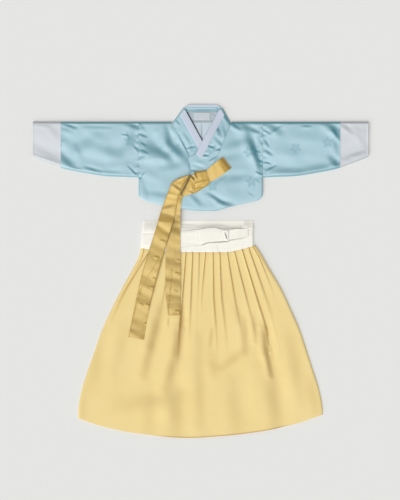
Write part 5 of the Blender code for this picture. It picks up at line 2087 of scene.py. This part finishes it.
@dataclass
class Skirt:
    """The skirt: a pleated front over a flat back."""

    rows: int = 150
    roll: float = 5.0

    @staticmethod
    def ends(level: float) -> tuple[float, float]:
        """The side edges at a share of the skirt's length from the hem up.

        Args:
            level: Share of the length from the hem up.

        Returns:
            X of the edge at the view's left, and of the one at its right.
        """
        left_y = -315.5 + (50.0 + 315.5) * level
        right_y = -308.0 + (56.0 + 308.0) * level
        return float(SKIRT_LEFT.at(left_y)), float(SKIRT_RIGHT.at(right_y))

    def y_at(self, share: Array, level: float, gap: float) -> Array:
        """Height on the skirt at a share of its width and of its length.

        Args:
            share: Share of the width from the view's left.
            level: Share of the length from the hem up.
            gap: How far it stays below the waist seam.

        Returns:
            Y at each share.
        """
        hem_left, hem_right = self.ends(0.0)
        seam_left, seam_right = self.ends(1.0)
        hem = SKIRT_HEM.at(hem_left + (hem_right - hem_left) * share)
        seam = WAIST_SEAM.at(seam_left + (seam_right - seam_left) * share) - gap
        return hem + (seam - hem) * level

    def build(self) -> None:
        """Make the front and the back."""
        self.build_front()
        self.build_back()

    def section(self, level: float, middle_y: float) -> tuple[Array, ...]:
        """X, rise at the sides, pleat height and the shade painted at the pleats across one row.

        Args:
            level: Share of the length from the hem up.
            middle_y: Y in the row's middle.

        Returns:
            The four rows, of equal length.
        """
        left, right = self.ends(level)
        turn = np.linspace(0.0, 0.5 * np.pi, 8)
        step = 1.0 + 9.0 * (1.0 - level)
        xs = [p.x_at(middle_y) for p in PLEATS]
        xs = [min(max(x, left + self.roll + 1.0), right - self.roll - 3.0) for x in xs]
        xs.append(right - self.roll)
        none = np.zeros(len(turn))
        parts = [(left + self.roll * (1.0 - np.cos(turn)), np.sin(turn), none, none)]
        first = np.linspace(left + self.roll, xs[0], 6)[1:-1]
        start = np.linspace(0.0, 0.6, 4) * PLEATS[0].depth_at(middle_y)
        parts.append((first, np.ones(4), start, np.zeros(4)))
        down = np.array([0.0, 0.35, 0.75, 1.0])
        t = np.linspace(0.0, 1.0, 8)[1:-1]
        for pleat, here, following in zip(PLEATS, xs, xs[1:]):
            depth = pleat.depth_at(middle_y)
            room = following - here
            width = min(step, 0.35 * room)
            # How much shade is painted at the pleat's step
            shown = 0.5 * min(1.0, 0.75 * depth)
            parts.append((
                here + width * down, np.ones(4), depth * np.array([1.0, 0.62, -0.16, -0.3]),
                shown * np.array([0.15, 0.9, 1.0, 0.8]),
            ))
            parts.append((
                here + width + (room - width) * t, np.ones(len(t)),
                depth * (0.55 * t ** 0.7 + 0.45 * t ** 4) * 0.92,
                0.3 * shown * np.exp(-(room - width) * t / 3.0),
            ))
        back = turn[::-1]
        parts.append((right - self.roll * (1.0 - np.cos(back)), np.sin(back), none, none))
        return tuple(np.concatenate(column) for column in zip(*parts))

    def build_front(self) -> None:
        """Make the pleated front, its sides rolled down to the table."""
        cloth = Cloth("ramie_skirt_front", RAMIE, "skirt_yellow")
        levels = np.linspace(0.0, 1.0, self.rows)
        levels = levels + 0.04 * np.sin(2.0 * np.pi * levels) * (1.0 - levels)
        for level in levels:
            left, right = self.ends(level)
            middle_y = float(self.y_at(np.array(0.5), level, 0.0))
            x, rise, extra, dark = self.section(level, middle_y)
            share = (x - left) / (right - left)
            y = self.y_at(share, level, 0.15)
            z = (PLEAT_BASE + skirt_wave(x, y)) * rise + extra
            seam = WAIST_SEAM.at(x)
            z = z - 0.7 * np.exp(-((seam - y) / 3.0) ** 2) * rise
            z = z + 0.25 * np.exp(-(y - SKIRT_HEM.at(x)) / 9.0) * pucker(0.12 * x, 0.6) * rise
            # Painted shade along the broad folds, and a thin painted shadow along the middle of the hem
            broad = 0.34 * fold_shade(SKIRT_FOLDS, x, y) * smoothstep(-40.0, -130.0, y)
            under = smoothstep(-110.0, -60.0, x) * smoothstep(200.0, 160.0, x)
            broad = broad + 0.8 * under * np.exp(-(y - SKIRT_HEM.at(x)) / 1.3)
            cloth.add(x, y, np.maximum(z, 0.0), u=HEM_WIDTH * share, v=y, painted_shade=dark + broad)
        declare(cloth.build(), "skirt_front")

    def build_back(self) -> None:
        """Make the flat back, inside the front's rolled sides."""
        cloth = Cloth("ramie_skirt_back", RAMIE, "skirt_yellow")
        for level in np.linspace(0.0, 1.0, 60):
            left, right = self.ends(level)
            share = np.linspace(1.8 / (right - left), 1.0 - 1.8 / (right - left), 80)
            x, y = left + (right - left) * share, self.y_at(share, level, 1.2)
            cloth.add(x, y, BACK_TOP, u=HEM_WIDTH * share)
        declare(cloth.build(), "skirt_back")


@dataclass
class Waistband:
    """The white waistband and the tie knotted round it."""

    rolled: float = 4.0

    def build(self) -> None:
        """Make the band, then the tie and its bow."""
        self.build_band()
        self.build_tie()

    @staticmethod
    def line_shade(x: Array, y: Array) -> Array:
        """Painted shadow along the lower edge of the tie and its bow."""
        strength = WAIST_LINE_SHADE.straight(x)
        return strength * np.exp(-(((y - WAIST_LINE.straight(x)) / 1.3) ** 2))

    def height(self, x: Array) -> Array:
        """Outer face of the band, falling a little towards its folded ends."""
        return BAND_HEIGHT - 0.5 * smoothstep(80.0, 125.0, np.abs(x + 5.0))

    def build_band(self) -> None:
        """Make the band's front with rolled ends, then its back."""
        folds = (
            Fold(66.0, 104.0, 72.0, 88.0, 8.0, -1.2), Fold(84.0, 103.0, 88.0, 92.0, 5.0, 0.7),
            Fold(38.0, 58.0, 40.0, 44.0, 4.0, -0.6), Fold(-6.0, 98.0, -4.0, 92.0, 6.0, -0.4),
            Fold(-112.0, 100.0, -104.0, 84.0, 6.0, 0.4), Fold(98.0, 104.0, 102.0, 70.0, 6.0, 0.4),
        )
        cloth = Cloth("cotton_band_front", COTTON, "cotton_white", thickness=BAND_CLOTH)
        turn = np.linspace(0.0, 0.5 * np.pi, 8)
        for level in np.linspace(0.0, 1.0, 34):
            left, right = -128.6 + 6.0 * level, 114.4
            x = np.concatenate([
                left + (1.0 - np.cos(turn)) * self.rolled,
                np.linspace(left + self.rolled, right - self.rolled, 130)[1:-1],
                right - (1.0 - np.cos(turn[::-1])) * self.rolled,
            ])
            rise = np.concatenate([np.sin(turn), np.ones(128), np.sin(turn[::-1])])
            low, high = WAIST_SEAM.at(x), BAND_TOP.at(x)
            y = low + (high - low) * level
            crease = fold_height(folds, x, y)
            crease = crease - 0.5 * np.exp(-((y - low) / 2.2) ** 2) - 3.4 * smoothstep(high - 20.0, high, y)
            crease = crease + 0.25 * pucker(0.5 * x, 2.2) * np.exp(-(y - low) / 7.0)
            tie_top = TIE_TOP.at(x)
            on_loop = smoothstep(-14.0, -4.0, x) * smoothstep(62.0, 50.0, x)
            on_tail = smoothstep(56.0, 62.0, x) * smoothstep(108.0, 100.0, x)
            beside = smoothstep(tie_top - 1.0, tie_top + 2.0, y) * smoothstep(high, high - 9.0, y)
            crease = crease + (1.2 + 2.0 * on_loop + 0.8 * on_tail) * beside
            z = np.maximum(self.height(x) + crease, 1.15) * rise
            # Shade painted into the band's folds, and the painted shadow under the tie's lower edge
            cloth.add(x, y, z, painted_shade=0.5 * fold_shade(folds, x, y) + self.line_shade(x, y))
        declare(cloth.build(), "waistband_front")
        self.build_band_back()

    @staticmethod
    def build_band_back() -> None:
        """Make the band's flat back."""
        cloth = Cloth("cotton_band_back", COTTON, "cotton_white", thickness=BAND_CLOTH)
        for level in np.linspace(0.0, 1.0, 20):
            x = np.linspace(-126.8 + 6.0 * level, 112.6, 100)
            low = WAIST_SEAM.at(x)
            cloth.add(x, low + (109.0 - low) * level, 0.55)
        declare(cloth.build(), "waistband_back")

    def build_tie(self) -> None:
        """Make the tie round the band, and its one-loop bow."""
        cloth = Cloth("cotton_tie", COTTON, "cotton_white", thickness=RIBBON)
        folds = (
            Fold(-40.0, 80.0, 10.0, 84.0, 5.0, 0.4), Fold(-36.0, 60.0, 0.0, 62.0, 4.0, -0.35),
            Fold(66.0, 86.0, 100.0, 82.0, 4.0, 0.35),
        )
        for level in np.linspace(0.0, 1.0, 24):
            x = np.linspace(-124.0, 110.5, 150)
            low, high = TIE_BOTTOM.at(x), TIE_TOP.at(x)
            y = low + (high - low) * level
            edge = -0.5 * (smoothstep(low + 3.0, low, y) + smoothstep(high - 3.0, high, y))
            z = self.height(x) + TIE_RISE + fold_height(folds, x, y) + edge
            # Painted shadow along the tie's lower edge
            cloth.add(x, y, z, painted_shade=self.line_shade(x, y))
        declare(cloth.build(), "waist_tie")
        Ribbon(
            "cotton_loop", "waist_loop", WAIST_LOOP, band_rest, 0.3, 0.15, 1.1, COTTON,
            "cotton_white", end_fall=0.6, top_roll=0.5, end_shade=0.1,
        ).build_loop(0.4)
        Ribbon(
            "cotton_tail", "waist_tail", WAIST_TAIL, band_rest, 1.3, 0.2, 2.1, COTTON, "cotton_white",
        ).build()
        Strap(
            "cotton_knot", "waist_knot", (51.0, 66.0), (60.0, 66.8), (49.5, 89.5), (59.0, 89.5),
            BAND_HEIGHT + 1.6, 9.9, (Fold(52.7, 83.5, 57.6, 69.0, 1.8, -2.0),), COTTON, "cotton_white",
        ).build()


@dataclass(frozen=True)
class Lamp:
    """A distant soft light.

    Tilt is its angle from straight above, and turn its angle about +Z from the bottom of the
    view. Both of them and the spread are in degrees.
    """

    name: str
    strength: float
    tilt: float
    turn: float
    spread: float


@dataclass
class Studio:
    """A pale table, soft light from the lower left, and a camera straight above."""

    floor_colour: str = "#e6e6e4"
    world_colour: str = "#f7f8f7"
    world_strength: float = 0.42
    key: Lamp = Lamp("key", 2.05, 59.0, -36.0, 46.0)
    gloss: Lamp = Lamp("gloss", 0.85, 12.0, -26.0, 10.0)

    def build(self) -> None:
        """Make the floor, the lights and the camera."""
        self.build_floor()
        self.build_lights()
        self.build_camera()

    def build_floor(self) -> None:
        """Lay a plain pale floor."""
        bpy.ops.object.select_all(action="DESELECT")
        bpy.ops.mesh.primitive_plane_add(size=9.0, location=(0.0, 0.0, 0.0))
        floor = bpy.context.active_object
        floor.name = "studio_floor"
        made = bpy.data.materials.new("matt_paper")
        made.use_nodes = True
        tree = made.node_tree
        tree.nodes.clear()
        place = add_node(tree, "TexCoord").outputs["Object"]
        grain = add_node(tree, "TexNoise", values={"Scale": 300.0, "Detail": 2.0}, links={"Vector": place})
        bump = add_node(
            tree, "Bump", values={"Strength": 0.05, "Distance": 0.0002},
            links={"Height": grain.outputs[0]},
        )
        shader = add_node(
            tree, "BsdfPrincipled",
            values={"Base Color": linear(self.floor_colour), "Roughness": 0.95, "Specular IOR Level": 0.05},
            links={"Normal": bump.outputs["Normal"]},
        )
        add_node(tree, "OutputMaterial", links={"Surface": shader.outputs["BSDF"]})
        floor.data.materials.append(made)

    def build_lights(self) -> None:
        """Shine a low key and a high gloss light from the lower left, and set the air."""
        for lamp in (self.key, self.gloss):
            data = bpy.data.lights.new(lamp.name, "SUN")
            data.energy = lamp.strength
            data.angle = math.radians(lamp.spread)
            made = bpy.data.objects.new(lamp.name, data)
            made.rotation_euler = (math.radians(lamp.tilt), 0.0, math.radians(lamp.turn))
            bpy.context.scene.collection.objects.link(made)
        world = bpy.data.worlds.new("studio_air")
        bpy.context.scene.world = world
        world.use_nodes = True
        background = world.node_tree.nodes["Background"]
        background.inputs["Color"].default_value = linear(self.world_colour)
        background.inputs["Strength"].default_value = self.world_strength
        bpy.context.scene.view_settings.view_transform = "Standard"

    def build_camera(self) -> None:
        """Look straight down at the photograph's scale through a long lens."""
        data = bpy.data.cameras.new("camera")
        data.sensor_fit = "VERTICAL"
        data.sensor_height = 36.0
        view_height = PHOTO_HEIGHT_PX * PIXEL_MM * MM
        data.lens = 36.0 * CAMERA_HEIGHT_M / view_height
        data.clip_end = 50.0
        camera = bpy.data.objects.new("camera", data)
        camera.location = (VIEW_CENTRE[0] * MM, VIEW_CENTRE[1] * MM, CAMERA_HEIGHT_M)
        bpy.context.scene.collection.objects.link(camera)
        bpy.context.scene.camera = camera


def main() -> None:
    """Load the frame, build every piece in order and note the size of what was made."""
    logging.basicConfig(level=logging.INFO, format="%(message)s")
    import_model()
    Studio().build()
    for side in Side:
        JacketBody(side).build()
        Sleeve(side).build()
        Cuff(side).build()
        Collar(side).build()
    BackNeck().build()
    Ties().build()
    Skirt().build()
    Waistband().build()


if __name__ == "__main__":
    main()
